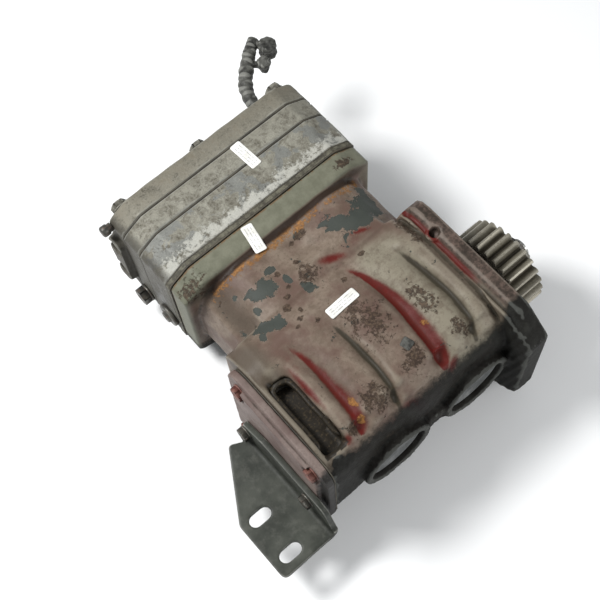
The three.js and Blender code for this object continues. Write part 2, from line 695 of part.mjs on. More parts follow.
function rodCap(x, pinZ) {
  const inner = crankpinRadius + runningGap;
  const half = rodWidth / 2;
  const ring = bar("x", inner + bigEndWall, 0, pinZ, x - half, x + half);
  const ears = box(x - half, x + half, -inner - earReach, inner + earReach,
    pinZ - rodEarHalfHeight, pinZ + rodEarHalfHeight);
  const upper = box(x - half - 1, x + half + 1, -80, 80, pinZ - gap / 2, pinZ + 60);
  const hole = bar("x", inner, 0, pinZ, x - half - 1, x + half + 1);
  const bolts = earY.map((y) => bar("z", rodBoltRadius + boltClearance, x, y, pinZ - 40, pinZ + 20, 12));
  const seats = earY.map((y) => bar("z", rodBoltHex + 1, x, y, pinZ - 40, pinZ - rodEarHalfHeight, 10));
  return cut(join([ring, ears]), [upper, hole, ...bolts, ...seats]);
}

function rodBolt(x, y, pinZ) {
  const seat = pinZ - rodEarHalfHeight - gap;
  const shank = bar("z", rodBoltRadius, x, y, seat - 1, pinZ + rodEarHalfHeight - 1, 12);
  return join([shank, hex("z", rodBoltHex, x, y, seat - 5, seat)]);
}

// ---- pistons
function piston(x, pinZ) {
  const outer = boreRadius - runningGap;
  const inner = outer - pistonWall;
  const crown = pinZ + crownHeight;
  const skirt = pinZ - skirtDepth;
  const shell = bar("z", outer, x, 0, skirt, crown, 32);
  const hollow = bar("z", inner, x, 0, skirt - 1, crown - crownThickness, 24);
  const bosses = [-1, 1].map((side) => {
    const [low, high] = [x + side * pinBossInset, x + side * (inner + 2)].sort((a, b) => a - b);
    return box(low, high, -13, 13, pinZ - 13, crown - 4);
  });
  const body = join([shell.subtract(hollow), ...bosses.map((b) => b.intersect(shell))]);
  const pinHole = bar("x", wristPinRadius + gap, 0, pinZ, x - bore, x + bore, 24);
  const groove = turned("z", [
    [outer - 3.2, crown - 11], [outer + 2, crown - 11], [outer + 2, crown - 8],
    [outer - 3.2, crown - 8], [outer - 3.2, crown - 11],
  ], x, 0, 32);
  return cut(body, [pinHole, groove]);
}

function pistonRing(x, pinZ) {
  const outer = boreRadius - runningGap;
  const top = pinZ + crownHeight - 8 - gap;
  const ring = turned("z", [
    [outer - 2.9, top - 2.4], [outer, top - 2.4], [outer, top], [outer - 2.9, top], [outer - 2.9, top - 2.4],
  ], x, 0, 32);
  return ring.subtract(box(x + outer - 6, x + outer + 2, -0.6, 0.6, top - 4, top + 1));
}

// ---- formed pipe on the head
function pipe() {
  const points = pipePath.map(([x, z]) => new THREE.Vector3(x, pipeY, z));
  const path = new THREE.CatmullRomCurve3(points);
  const section = new THREE.Shape();
  for (let i = 0; i < 10; i += 1) {
    const turn = (2 * Math.PI * i) / 10;
    const spot = [pipeRadius * Math.cos(turn), pipeRadius * Math.sin(turn)];
    if (i === 0) section.moveTo(...spot);
    else section.lineTo(...spot);
  }
  return solidOf(new THREE.ExtrudeGeometry(section, { steps: 14, extrudePath: path }));
}

function pipeUnion() {
  const [x, z] = onBlock(unionRun);
  return turned("y", [
    [0, pipeY - 10], [7, pipeY - 10], [10, pipeY - 7], [10, pipeY + 7], [7, pipeY + 10], [0, pipeY + 10],
  ], x, z, 14);
}

// Domed plug that closes the lower eye of the union.
function unionBolt() {
  const [x, z] = onBlock(unionBoltRun);
  return turned("y", [
    [0, pipeY - 9], [5, pipeY - 8], [8, pipeY - 4], [8, pipeY + 5], [5, pipeY + 8], [0, pipeY + 8],
  ], x, z, 10);
}

// ---- small pieces on the shaft nose
function gearKey() {
  return box(keyX, keyX + keyLength, -keyWidth / 2, keyWidth / 2,
    gearBoreRadius - keyHalfHeight, gearBoreRadius + keyHalfHeight);
}

const washerX = flangeFace + gearStandoff + gearWidth + gap;
const nutX = washerX + washerThickness + gap;

function gearWasher() {
  const disc = bar("x", gearBoreRadius + 5, 0, 0, washerX, washerX + washerThickness);
  return disc.subtract(bar("x", threadRadius + gap, 0, 0, washerX - 1, washerX + washerThickness + 1, 24));
}

function gearNut() {
  const body = hex("x", threadRadius * 1.75, 0, 0, nutX, nutX + nutHeight);
  return body.subtract(bar("x", threadRadius + gap, 0, 0, nutX - 1, nutX + nutHeight + 1, 24));
}

function oilPlug(z) {
  return bar("x", oilPlugRadius, 0, z, rearCoverX + 2, rearCoverX + 2 + oilPlugLength, 10);
}

function wristPin(x, pinZ) {
  const half = boreRadius - runningGap - 2;
  const body = bar("x", wristPinRadius, 0, pinZ, x - half, x + half, 24);
  return body.subtract(bar("x", wristPinRadius - 4, 0, pinZ, x - half - 1, x + half + 1, 10));
}

const pieces = {
  housing: [
    meshOf("crankcase", crankcase(), castIron),
    meshOf("block_gasket", cut(layer(deckHeight + gap, gasketThickness, []),
      boreWindows(deckHeight, deckHeight + 3)), gasketPaper),
    meshOf("valve_plate", layer(valvePlateZ, valvePlateThickness,
      valvePorts(valvePlateZ - 1, valvePlateZ + valvePlateThickness + 1)), paintedSteel),
    meshOf("head_gasket", layer(headZ - gap - gasketThickness, gasketThickness,
      gasChambers(headZ - 3, headZ)), gasketPaper),
    meshOf("cylinder_head", cylinderHead(), aluminium),
    meshOf("plate_gasket", layer(intermediateZ - gap - gasketThickness, gasketThickness,
      gasChambers(intermediateZ - 3, intermediateZ)), gasketPaper),
    meshOf("intermediate_plate", intermediatePlate(), aluminium),
    meshOf("cover_gasket", layer(coverZ - gap - gasketThickness, gasketThickness,
      gasChambers(coverZ - 3, coverZ)), gasketPaper),
    meshOf("head_cover", headCover(), aluminium),
    ...headBoltPlaces.map(([x, y], i) => meshOf(`head_bolt_${i + 1}`, headBolt(x, y), darkSteel)),
    ...cylinderX.map((x, i) => meshOf(`suction_reed_${i + 1}`,
      reed(x, -1, valvePlateZ - gap - reedThickness), steel)),
    ...cylinderX.map((x, i) => meshOf(`discharge_reed_${i + 1}`,
      reed(x, 1, valvePlateZ + valvePlateThickness + gap), steel)),
    meshOf("coolant_cap", endFitting(coolantCap, headZ), steel),
    meshOf("port_plug", endFitting(portPlug, intermediateZ), darkSteel),
    meshOf("breather_knob", endFitting(breather, coverZ), darkSteel),
    ...cylinderX.map((x, i) => meshOf(`core_plug_${i + 1}`, corePlug(x), darkSteel)),
    meshOf("rear_cover_gasket", rearCoverGasket(), gasketPaper),
    meshOf("rear_cover", rearCover(), castIron),
    ...rearBolts.map((place, i) => meshOf(`rear_bolt_${i + 1}`, rearBolt(place), darkSteel)),
    meshOf("rear_bearing", bearingRing(rearCoverX + 2), bronze),
    meshOf("front_bearing", bearingRing(flangeFace - flangeThickness - frontWall + 2), bronze),
    meshOf("shaft_seal", bearingRing(flangeFace + pilotHeight - bearingLength - 1), rubber),
    meshOf("mounting_bracket", mountingBracket(), paintedSteel),
    ...bracketBolts.map((place, i) => meshOf(`bracket_bolt_${i + 1}`, bracketBolt(place), darkSteel)),
    meshOf("unloader_pipe", pipe(), darkSteel),
    meshOf("pipe_union", pipeUnion(), darkSteel),
    meshOf("union_bolt", unionBolt(), darkSteel),
  ],
  crank: [
    meshOf("crankshaft", crankshaft(), steel),
    meshOf("drive_gear", driveGear(), steel),
    meshOf("gear_key", gearKey(), darkSteel),
    meshOf("gear_washer", gearWasher(), darkSteel),
    meshOf("gear_nut", gearNut(), darkSteel),
    ...pinPlaces.map(([, pinZ], i) => meshOf(`crank_oil_plug_${i + 1}`, oilPlug(pinZ / 2), darkSteel)),
  ],
  running: pinPlaces.flatMap(([x, pinZ], i) => {
    const wristZ = pinZ + rodLength;
    return [
      meshOf(`rod_${i + 1}`, rod(x, pinZ), steel),
      meshOf(`rod_cap_${i + 1}`, rodCap(x, pinZ), steel),
      meshOf(`rod_bolt_${i + 1}_left`, rodBolt(x, earY[0], pinZ), darkSteel),
      meshOf(`rod_bolt_${i + 1}_right`, rodBolt(x, earY[1], pinZ), darkSteel),
      meshOf(`piston_${i + 1}`, piston(x, wristZ), aluminium),
      meshOf(`wrist_pin_${i + 1}`, wristPin(x, wristZ), steel),
      meshOf(`piston_ring_${i + 1}`, pistonRing(x, wristZ), darkSteel),
    ];
  }),
};

// The machine lies on its +y side: its head end points along +Y and the near side faces up.
const machine = new THREE.Group();
machine.add(...Object.values(pieces).flat());
machine.rotation.x = -Math.PI / 2;
machine.updateMatrixWorld(true);
const size = new THREE.Box3().setFromObject(machine, true);
machine.position.set(
  -(size.min.x + size.max.x) / 2,
  -(size.min.y + size.max.y) / 2,
  -size.min.z,
);
const compressor = new THREE.Group();
compressor.add(machine);

export default compressor;
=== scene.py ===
import json
import math

import bmesh
import bpy
import numpy as np
from mathutils import Matrix, Vector
from mathutils.bvhtree import BVHTree


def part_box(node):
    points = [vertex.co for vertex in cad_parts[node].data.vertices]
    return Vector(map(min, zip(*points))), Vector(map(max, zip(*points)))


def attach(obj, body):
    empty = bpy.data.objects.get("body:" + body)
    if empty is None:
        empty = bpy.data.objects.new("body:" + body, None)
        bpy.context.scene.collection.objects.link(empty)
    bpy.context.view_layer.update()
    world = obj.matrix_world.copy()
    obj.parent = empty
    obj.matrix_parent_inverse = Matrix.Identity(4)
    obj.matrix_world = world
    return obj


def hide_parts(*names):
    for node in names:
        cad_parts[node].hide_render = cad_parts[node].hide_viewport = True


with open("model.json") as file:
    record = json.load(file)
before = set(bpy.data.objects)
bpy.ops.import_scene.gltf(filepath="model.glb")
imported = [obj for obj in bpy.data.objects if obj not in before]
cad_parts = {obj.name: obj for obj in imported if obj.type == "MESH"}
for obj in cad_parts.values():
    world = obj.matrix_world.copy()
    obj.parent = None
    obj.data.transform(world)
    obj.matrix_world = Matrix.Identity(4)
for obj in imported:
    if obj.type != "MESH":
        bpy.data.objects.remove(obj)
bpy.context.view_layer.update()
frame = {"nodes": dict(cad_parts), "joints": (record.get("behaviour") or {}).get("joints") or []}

# The view: the compressor lies on its side on a pale floor and is seen from above, turned a little,
# through a long lens.
MM = 0.001
camera = bpy.data.objects.new("camera", bpy.data.cameras.new("camera"))
aim = Vector((-0.00811, -0.02243, 0.084))
stands_at = Vector((-0.26541, -0.39699, 1.16327))
camera.location = stands_at
camera.rotation_mode = "QUATERNION"
level = (aim - stands_at).to_track_quat("-Z", "Y")
camera.rotation_quaternion = level @ Matrix.Rotation(math.radians(-6.72), 3, "Z").to_quaternion()
camera.data.lens = 71.756
camera.data.sensor_width = 36.0
camera.data.clip_end = 20.0
bpy.context.collection.objects.link(camera)
bpy.context.scene.camera = camera

# The light: one big soft box overhead to the left, a weaker one to the right, and a bright plain room
# round them.
bpy.context.scene.view_settings.view_transform = "Standard"
room = bpy.data.worlds.new("room")
bpy.context.scene.world = room
room.use_nodes = True
room.node_tree.nodes["Background"].inputs["Color"].default_value = (0.94, 0.97, 1.0, 1)
room.node_tree.nodes["Background"].inputs["Strength"].default_value = 0.34


def soft_box(name, place, size, power):
    lamp = bpy.data.objects.new(name, bpy.data.lights.new(name, "AREA"))
    lamp.data.shape = "RECTANGLE"
    lamp.data.size, lamp.data.size_y = size
    lamp.data.energy = power
    lamp.location = place
    lamp.rotation_euler = (aim - Vector(place)).to_track_quat("-Z", "Y").to_euler()
    bpy.context.collection.objects.link(lamp)


soft_box("key_light", (-0.60, 0.62, 1.25), (0.50, 0.40), 26.0)
soft_box("front_light", (0.45, -1.15, 0.75), (0.9, 0.5), 9.0)


class Shade:
    """One socket of a finish's node tree. Arithmetic on it adds Math nodes."""

    def __init__(self, tree, socket=None):
        self.tree = tree
        self.socket = socket

    def node(self, kind, settings=None, inputs=None, out=0):
        """Adds a node of this kind: its settings first, then its sockets' values or links."""
        made = self.tree.nodes.new("ShaderNode" + kind)
        for name, value in (settings or {}).items():
            setattr(made, name, value)
        for name, value in (inputs or {}).items():
            if isinstance(value, Shade):
                self.tree.links.new(value.socket, made.inputs[name])
            elif isinstance(value, tuple) and made.inputs[name].type == "RGBA":
                made.inputs[name].default_value = (*value, 1)
            else:
                made.inputs[name].default_value = value
        return Shade(self.tree, made.outputs[out] if made.outputs else None)

    def combine(self, operation, first, second):
        return self.node("Math", {"operation": operation}, {0: first, 1: second})

    def __add__(self, other):
        return self.combine("ADD", self, other)

    def __radd__(self, other):
        return self.combine("ADD", other, self)

    def __sub__(self, other):
        return self.combine("SUBTRACT", self, other)

    def __rsub__(self, other):
        return self.combine("SUBTRACT", other, self)

    def __mul__(self, other):
        return self.combine("MULTIPLY", self, other)

    def __rmul__(self, other):
        return self.combine("MULTIPLY", other, self)

    def __or__(self, other):
        return self.combine("MAXIMUM", self, other)

    def rise(self, low, high):
        """0 below low, 1 above high, and smooth between."""
        settings = {"interpolation_type": "SMOOTHSTEP"}
        return self.node("MapRange", settings, {0: self, 1: low, 2: high, 3: 0.0, 4: 1.0})

    def band(self, low, high, soft):
        """1 between low and high, fading out over soft on both sides."""
        return self.rise(low - soft, low + soft) * (1 - self.rise(high - soft, high + soft))

    def grain(self, size, detail=4.0, roughness=0.6, out=0, warp=0.0):
        """Fractal noise whose largest lumps are size millimetres across; self is a place."""
        inputs = {"Vector": self, "Scale": 1 / size, "Detail": detail, "Roughness": roughness,
                  "Distortion": warp}
        return self.node("TexNoise", None, inputs, out)

    def stretched(self, *shares):
        """The place drawn out along some axes, for grain that runs in lines."""
        return self.node("VectorMath", {"operation": "MULTIPLY"}, {0: self, 1: shares})

    def torn(self, size, detail, roughness, most, warp=0.0):
        """Fractal noise about 0, which tears the border of a mask."""
        return (self.grain(size, detail, roughness, warp=warp) - 0.5) * most

    def over(self, under, colour):
        """colour laid over under where this mask is 1."""
        return self.node("Mix", {"data_type": "RGBA"}, {0: self, 6: under, 7: colour}, out=2)

    def mark(self, name):
        """What a piece's own vertices say under this name."""
        return self.node("Attribute", {"attribute_name": name}, out=2)


crank_line = next(joint for joint in frame["joints"] if joint["name"] == "crank_turn")["pos_m"]
GEAR_BACK = 134.0
middle = (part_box("drive_gear")[0].x - GEAR_BACK * MM, crank_line[1], crank_line[2])
# The machine's own millimetres: x along the crankshaft to the gear, y away from the seen side, z up the
# cylinders, with the middle of the crankshaft as the start. This lays them in the frame.
lying = Matrix(((MM, 0, 0, middle[0]), (0, 0, MM, middle[1]), (0, -MM, 0, middle[2]), (0, 0, 0, 1)))


def finish(name, look):
    """A material: look gets the place as x, z and -y in machine millimetres, and returns the inputs of the
    main shader and the height of the relief in millimetres."""
    material = bpy.data.materials.new(name)
    material.use_nodes = True
    tree = material.node_tree
    tree.nodes.clear()
    start = Shade(tree)
    told = start.node("TexCoord", out=3)
    told = told.node("VectorMath", {"operation": "SUBTRACT"}, {0: told, 1: middle})
    told = told.node("VectorMath", {"operation": "SCALE"}, {0: told, "Scale": 1000.0})
    inputs, height = look(told)
    inputs["Normal"] = start.node("Bump", None, {"Strength": 1.0, "Distance": MM, "Height": height})
    shader = start.node("BsdfPrincipled", None, inputs)
    start.node("OutputMaterial", None, {"Surface": shader})
    return material


def split(place):
    """The three numbers of a place: along the crankshaft, up the cylinders, and out to the seen side."""
    return [place.node("SeparateXYZ", None, {0: place}, out=axis) for axis in range(3)]


def clouded(clouds, spread, colours, specks, flecks, roughness, relief, **shader):
    """The look of a small part: two colours in clouds, under flecks of a third. clouds and specks are size,
    detail and roughness of the grain; flecks is where they begin and end, how thick they are and their
    colour; roughness and relief are numbers for the part itself and for what the specks or clouds add."""
    def look(place):
        cloud, speck = place.grain(*clouds), place.grain(*specks)
        colour = cloud.rise(*spread).over(*colours)
        if flecks:
            low, high, share, tint = flecks
            colour = (speck.rise(low, high) * share).over(colour, tint)
        height = relief[0] * cloud + relief[1] * speck
        return {"Base Color": colour, "Roughness": roughness[0] + roughness[1] * speck, **shader}, height
    return look


def floor_look(place):
    cloud = place.grain(300.0, 3.0)
    colour = cloud.over((0.86, 0.87, 0.87), (0.92, 0.92, 0.92))
    return {"Base Color": colour, "Roughness": 0.75 + cloud * 0.1, "Specular IOR Level": 0.1}, cloud * 0.02


sheet = bmesh.new()
bmesh.ops.create_grid(sheet, x_segments=24, y_segments=24, size=4.0)
for corner in sheet.verts:
    far = max(0.0, corner.co.length - 2.5)
    corner.co.z = -0.0005 + 0.25 * far * far
floor = bpy.data.objects.new("floor", bpy.data.meshes.new("floor"))
sheet.to_mesh(floor.data)
sheet.free()
floor.data.materials.append(finish("floor_card", floor_look))
bpy.context.collection.objects.link(floor)


# How castings are made: the solid becomes a skin of fine even faces, which is rounded, swollen and pressed
# in all at once, and which keeps a few numbers on its points for its finish to read.
def welded(node):
    """A CAD node's form in machine millimetres, its faces joined up."""
    form = bmesh.new()
    form.from_mesh(frame["nodes"][node].data)
    form.transform(lying.inverted())
    bmesh.ops.remove_doubles(form, verts=form.verts, dist=0.01)
    return form


def fine_skin(name, form, facet):
    """The form as a mesh of even faces facet millimetres across."""
    mesh = bpy.data.meshes.new(name)
    form.to_mesh(mesh)
    form.free()
    holder = bpy.data.objects.new(name, mesh)
    bpy.context.collection.objects.link(holder)
    remesh = holder.modifiers.new("remesh", "REMESH")
    remesh.mode = "VOXEL"
    remesh.voxel_size = facet
    seen = holder.evaluated_get(bpy.context.evaluated_depsgraph_get())
    skin = bpy.data.meshes.new_from_object(seen)
    bpy.data.objects.remove(holder)
    return skin


def solid_box(form, low, high):
    middle_point = [(a + b) / 2 for a, b in zip(low, high)]
    size = [b - a for a, b in zip(low, high)]
    place = Matrix.Translation(middle_point) @ Matrix.Diagonal((*size, 1))
    bmesh.ops.create_cube(form, size=1.0, matrix=place)


class Skin:
    """The points of a fine mesh as arrays, for shaping it all at once."""

    def __init__(self, mesh):
        self.mesh = mesh
        self.points = np.empty(len(mesh.vertices) * 3)
        mesh.vertices.foreach_get("co", self.points)
        self.points = self.points.reshape(-1, 3)
        self.edges = np.empty(len(mesh.edges) * 2, dtype=np.int32)
        mesh.edges.foreach_get("vertices", self.edges)
        self.edges = self.edges.reshape(-1, 2)
        self.count = np.bincount(self.edges.ravel(), minlength=len(self.points))

    def averaged(self, values):
        """Each point's value as the mean of its neighbours'."""
        first, second = self.edges[:, 0], self.edges[:, 1]
        number = len(self.points)
        total = np.bincount(first, weights=values[second], minlength=number)
        total += np.bincount(second, weights=values[first], minlength=number)
        return total / np.maximum(self.count, 1)

    def rub(self, rounds, hold=0.0):
        """Rounds the edges: each point moves towards its neighbours, less where hold nears 1."""
        share = 0.6 * (1 - hold)
        for _ in range(rounds):
            for axis in range(3):
                line = self.points[:, axis]
                line += (self.averaged(line) - line) * share

    def store(self):
        self.mesh.vertices.foreach_set("co", self.points.ravel())
        self.mesh.update()

    def normals(self):
        self.store()
        out = np.empty(len(self.points) * 3)
        self.mesh.vertices.foreach_get("normal", out)
        return out.reshape(-1, 3)

    def relief(self, rounds):
        """How far each point stands out of its wider surroundings, in millimetres."""
        away = np.empty_like(self.points)
        for axis in range(3):
            line = self.points[:, axis].copy()
            for _ in range(rounds):
                line = self.averaged(line)
            away[:, axis] = self.points[:, axis] - line
        return (away * self.normals()).sum(axis=1)

    def mark(self, name, values):
        """Keeps a number between 0 and 1 on every vertex, for the finish to read."""
        told = self.mesh.attributes.new(name, "FLOAT", "POINT")
        told.data.foreach_set("value", np.clip(values, 0, 1).astype(np.float32))


def ramp(values, low, high):
    """0 at low, 1 at high, and smooth between."""
    part = np.clip((values - low) / (high - low), 0, 1)
    return part * part * (3 - 2 * part)


def curve_points(corners, steps=16):
    """A smooth run of points through the given corners."""
    ends = [corners[0], *corners, corners[-1]]
    run = []
    for a, b, c, d in zip(ends, ends[1:], ends[2:], ends[3:]):
        for step in range(steps):
            t = step / steps
            run.append([0.5 * (2 * q + (r - p) * t + (2 * p - 5 * q + 4 * r - s) * t * t
                               + (3 * q - p - 3 * r + s) * t ** 3) for p, q, r, s in zip(a, b, c, d)])
    run.append(list(corners[-1]))
    return np.array(run)


def along_curve(x, z, corners):
    """For each point: its distance from the curve, which side it lies on, and how far down it is."""
    run = curve_points(corners)
    near = np.full(len(x), 1e9)
    side = np.zeros(len(x))
    down = np.zeros(len(x))
    for step, (start, end) in enumerate(zip(run[:-1], run[1:])):
        reach = end - start
        length = max(reach @ reach, 1e-9)
        part = np.clip(((x - start[0]) * reach[0] + (z - start[1]) * reach[1]) / length, 0, 1)
        off_x = x - start[0] - part * reach[0]
        off_z = z - start[1] - part * reach[1]
        gap = np.hypot(off_x, off_z)
        closer = gap < near
        near = np.where(closer, gap, near)
        side = np.where(closer, np.sign(off_x * -reach[1] + off_z * reach[0]), side)
        down = np.where(closer, (step + part) / (len(run) - 1), down)
    return near, side, down


def blots(x, z, spots):
    """How deep each point lies in the nearest of a few oval patches: x, z, half width, half height, turn."""
    most = np.zeros(len(x))
    for spot_x, spot_z, wide, tall, turn in spots:
        cos, sin = math.cos(math.radians(turn)), math.sin(math.radians(turn))
        off_x, off_z = x - spot_x, z - spot_z
        u = (off_x * cos + off_z * sin) / wide
        v = (off_z * cos - off_x * sin) / tall
        most = np.maximum(most, 1 - ramp(np.hypot(u, v), 0.0, 1.9))
    return most


def join(form, rings):
    """Faces all round between each ring of points and the next."""
    for lower, upper in zip(rings, rings[1:]):
        for step in range(len(lower)):
            after = (step + 1) % len(lower)
            form.faces.new((lower[step], lower[after], upper[after], upper[step]))


def lathe(form, place, profile, around=40, radius_at=None):
    """Turns a profile of (radius, height) pairs into a closed ring of faces; a radius of 0 closes an end."""
    rings = []
    for radius, height in profile:
        ring = []
        for step in range(around):
            turn = 2 * math.pi * step / around
            reach = radius_at(radius, height, turn) if radius_at and radius else (radius, height)
            ring.append(form.verts.new(place @ Vector((reach[0] * math.cos(turn), reach[0] * math.sin(turn),
                                                       reach[1]))))
        rings.append(ring)
    join(form, rings)


# The crankcase: one sand casting in grey iron that carries both cylinders, the drive flange and the two
# round plug bosses. Primer under red paint, then years of grease, chips and rust.
CASE_FACET = 1.7
CASE_LOW, CASE_HIGH = (-118.0, -84.0, -95.0), (121.5, 84.0, 171.0)
SIDE = 83.9
VALLEYS = [
    # the run from top to bottom, depth, width on the gear side, width on the other side, swale beside it,
    # and how much red shows in it
    ([(50, 84), (63, 52), (69, 22), (71, -10), (68, -38), (60, -58)], 6.0, 3.5, 9.0, 2.6, 0.15),
    ([(12, 84), (22, 54), (28, 22), (27, -10), (24, -42), (21, -58)], 7.0, 10.0, 6.0, 3.2, 1.15),
    ([(-34, 58), (-28, 26), (-26, -8), (-28, -36), (-34, -62)], 6.0, 3.5, 7.0, 3.0, 0.12),
    ([(-78, 56), (-70, 26), (-69, -10), (-71, -38), (-76, -55)], 6.0, 9.0, 6.0, 2.6, 0.8),
]
CYLINDER_X = 49.5
BORE_RADIUS = 43.3


def from_cylinder(x, y):
    """How far each point is from the axis of its cylinder."""
    return np.hypot(x - CYLINDER_X * np.sign(x), y)


form = welded("crankcase")
# The straight grooves of the walls are filled first; the bent creases are pressed in afterwards.
for groove_x in (70, 24, -29, -69):
    for low, high in ((-80.0, -72.0), (72.0, 80.0)):
        solid_box(form, (groove_x - 11, low, -44), (groove_x + 11, high, 59))
for rim_x in (-CYLINDER_X, CYLINDER_X):
    lathe(form, Matrix.Translation((rim_x, 0, 0)), [(32.4, -60), (32.4, -77.5), (39.2, -77.5), (39.2, -60),
                                                    (32.4, -60)], 72)
skin = Skin(fine_skin("crankcase", form, CASE_FACET))
x, y, z = skin.points.T.copy()
plug_rim = ramp(-z, 62, 66) * (1 - ramp(from_cylinder(x, y), 40, 42))
machined = np.maximum.reduce([ramp(z, 169, 170.5), ramp(x, 110, 114), ramp(-x, 116, 117.5),
                              1 - ramp(from_cylinder(x, y), 31, 34)])
band = ramp(z, 147, 150)
flange = ramp(x, 88, 92) * (1 - ramp(z, 100, 110))
skin.rub(5, np.maximum.reduce([machined, 0.75 * band, 0.75 * flange, 0.8 * plug_rim]))
outer = ramp(np.abs(y), 60, 68) * (1 - machined) * (1 - band) * (1 - ramp(x, 84, 92))
skin.rub(14, 1 - outer * (1 - ramp(-z, 56, 64)))
# The bores are opened a little, so that the coarse skin stays clear of the rings.
x, y, z = skin.points.T.copy()
off_bore = from_cylinder(x, y)
bore_wall = (z > 55) & (off_bore > 38) & (off_bore < 44.5)
wider = np.where(bore_wall, np.maximum(BORE_RADIUS / np.maximum(off_bore, 1.0), 1.0), 1.0)
axis_x = CYLINDER_X * np.sign(x)
skin.points[:, 0] = axis_x + (x - axis_x) * wider
skin.points[:, 1] = y * wider
x, y, z = skin.points.T.copy()
normals = skin.normals()
seen_side = np.where(y < 0, -normals[:, 1], normals[:, 1])
outside = ramp(np.abs(y), 64, 68) * ramp(seen_side, 0.25, 0.7)
panel = outside * (1 - ramp(x, 82, 92)) * ramp(x, -116, -100)
shoulder = ramp(z, 78, 88) * (1 - ramp(z, 88, 122)) * outside * (1 - ramp(np.abs(x), 84, 100))
push = 7.5 * shoulder * ramp(80 - np.abs(y), 0, 9)
case_wall = panel * (1 - ramp(z, 84, 104)) * ramp(z, -66, -50)
swell = 4.2 * case_wall
valley_deep = np.zeros(len(x))
for corners, depth, gear_side, other_side, swale, _ in VALLEYS:
    near, side, down = along_curve(x, z, corners)
    width = np.where(side > 0, gear_side, other_side)
    taper = ramp(down, 0.0, 0.45) * (1 - 0.9 * ramp(down, 0.86, 1.0))
    cut = np.exp(-(near / width) ** 2) * taper
    beside = 0.5 * np.exp(-(near / 13.0) ** 2) * ramp(down, -0.1, 0.3)
    valley_deep = np.maximum.reduce([valley_deep, cut, beside])
    swell -= (depth * cut + swale * np.exp(-(near / 17.0) ** 2) * ramp(down, -0.1, 0.3)) * case_wall
push += swell
pocket = (x < -90) & (x > -112) & (z > -50) & (z < 31)
push = np.where(pocket & (np.abs(y) < 79), 0, push)
# The cylinder barrels show as soft swells in the neck, with a hollow between them.
neck_wall = outside * ramp(z, 96, 116) * (1 - ramp(z, 138, 148)) * (1 - ramp(np.abs(x), 84, 98))
push += neck_wall * (3.2 * np.exp(-((np.abs(x) - 52) / 24.0) ** 2) - 3.0 * np.exp(-((x - 2) / 15.0) ** 2))
# The flange stands off the case behind a cast-in channel, with a thick rim along its outer edge.
channel = outside * ramp(x, 84, 91) * (1 - ramp(x, 97, 102)) * ramp(z, -84, -66) * (1 - ramp(z, 76, 84))
push -= 6.0 * channel
# A deep pocket beside the rear joint face, its far wall sloping up to the first swell.
pocket_slope = (outside * ramp(x, -114, -109) * (1 - ramp(x, -96, -84))
                * ramp(z, -56, -44) * (1 - ramp(z, 25, 42)))
push -= 9.0 * pocket_slope * ramp(80 - np.abs(y), -4, -1) * (y < 0)
waves = (0.35 * np.sin(x / 9.0 + 2.0 * np.sin(z / 17.0)) * np.sin(z / 11.0 + x / 23.0)
         + 0.2 * np.sin(x / 4.1 + z / 5.3))
rough_skin = (1 - machined) * ramp(np.abs(y) + 0.4 * np.abs(z), 40, 60)
push += waves * rough_skin * (1 - band * 0.6) * (1 - ramp(x, 96, 110))
# Baked grease and road dirt stand out in lumps under the bosses and at the lower rear corner.
muck = blots(x, z, [(-112, -72, 14, 16, 0), (-96, -66, 12, 10, 0), (-106, -58, 8, 6, 0)]) * (y < 40)
muck = np.maximum(muck, ramp(-z, 62, 70) * (1 - machined))
lumps = 0.5 + 0.5 * np.sin(x * 0.9 + 1.7 * np.sin(y * 0.7)) * np.sin(z * 0.8 + y * 0.5)
push += muck * (lumps - 0.4) * 2.0 * (1 - machined) * (1 - 0.7 * plug_rim)
room_left = np.minimum(SIDE - np.abs(y), 6.0)
push = np.minimum(push, np.where(seen_side > 0.3, np.maximum(room_left, 0), 6.0))
skin.points += normals * push[:, None]
skin.rub(2, np.maximum(machined, plug_rim))
skin.points[:] = np.clip(skin.points, CASE_LOW, CASE_HIGH)
x, y, z = skin.points.T.copy()
seen = ramp(-y, 40, 60)
red = np.zeros(len(x))
crease = np.zeros(len(x))
for corners, *_, redness in VALLEYS:
    near, side, down = along_curve(x, z, corners)
    # a thin line of painted shade along each crease bottom, weaker where red shows
    dark = np.exp(-(near / 2.6) ** 2) * ramp(down, 0.05, 0.35) * (1 - ramp(down, 0.95, 1.0))
    crease = np.maximum(crease, seen * dark * (1 - 0.75 * min(redness, 1.0)))
    lean = near * np.where(side > 0, 0.7, 1.5)
    belly = 3.0 + 5.0 * ramp(down, 0.1, 0.7) - 5.0 * ramp(down, 0.82, 1.0)
    fade = ramp(down, 0.0, 0.25) * (1 - ramp(down, 0.97, 1.0))
    red = np.maximum(red, redness * np.exp(-(lean / belly) ** 2) * fade)
red = np.maximum(red, 0.8 * np.exp(-((x - 96.5) / 4.0) ** 2) * ramp(z, -40, 0) * (z < 90))
red = np.maximum(red, 0.75 * blots(x, z, [(-18, -62, 16, 4, -18), (30, -58, 10, 4, 20), (-88, -50, 6, 6, 0),
                                          (-87, 6, 4, 30, 0), (14, 88, 16, 5, -25), (52, 92, 12, 3, -20)]))
red = np.maximum(red, 0.36 * blots(x, z, [(40, 92, 26, 12, 0), (18, 66, 9, 20, 15), (-82, 34, 8, 22, 0)]))
skin.mark("red", red * (1 - 0.9 * blots(x, z, [(-102, -10, 9, 36, 0)])))
skin.mark("pocket", seen * ramp(y, -80.5, -74) * (1 - ramp(x, -92, -86)) * (x > -113) * (z > -52) * (z < 36))
skin.mark("olive", seen * ramp(x, 10, 44) * (1 - 0.5 * ramp(x, 64, 84)) * (1 - ramp(z, 60, 100)))
skin.mark("shade", seen * np.maximum(ramp(-x, 52, 96) * ramp(z, 70, 90), 0.7 * ramp(-x, 86, 112)))
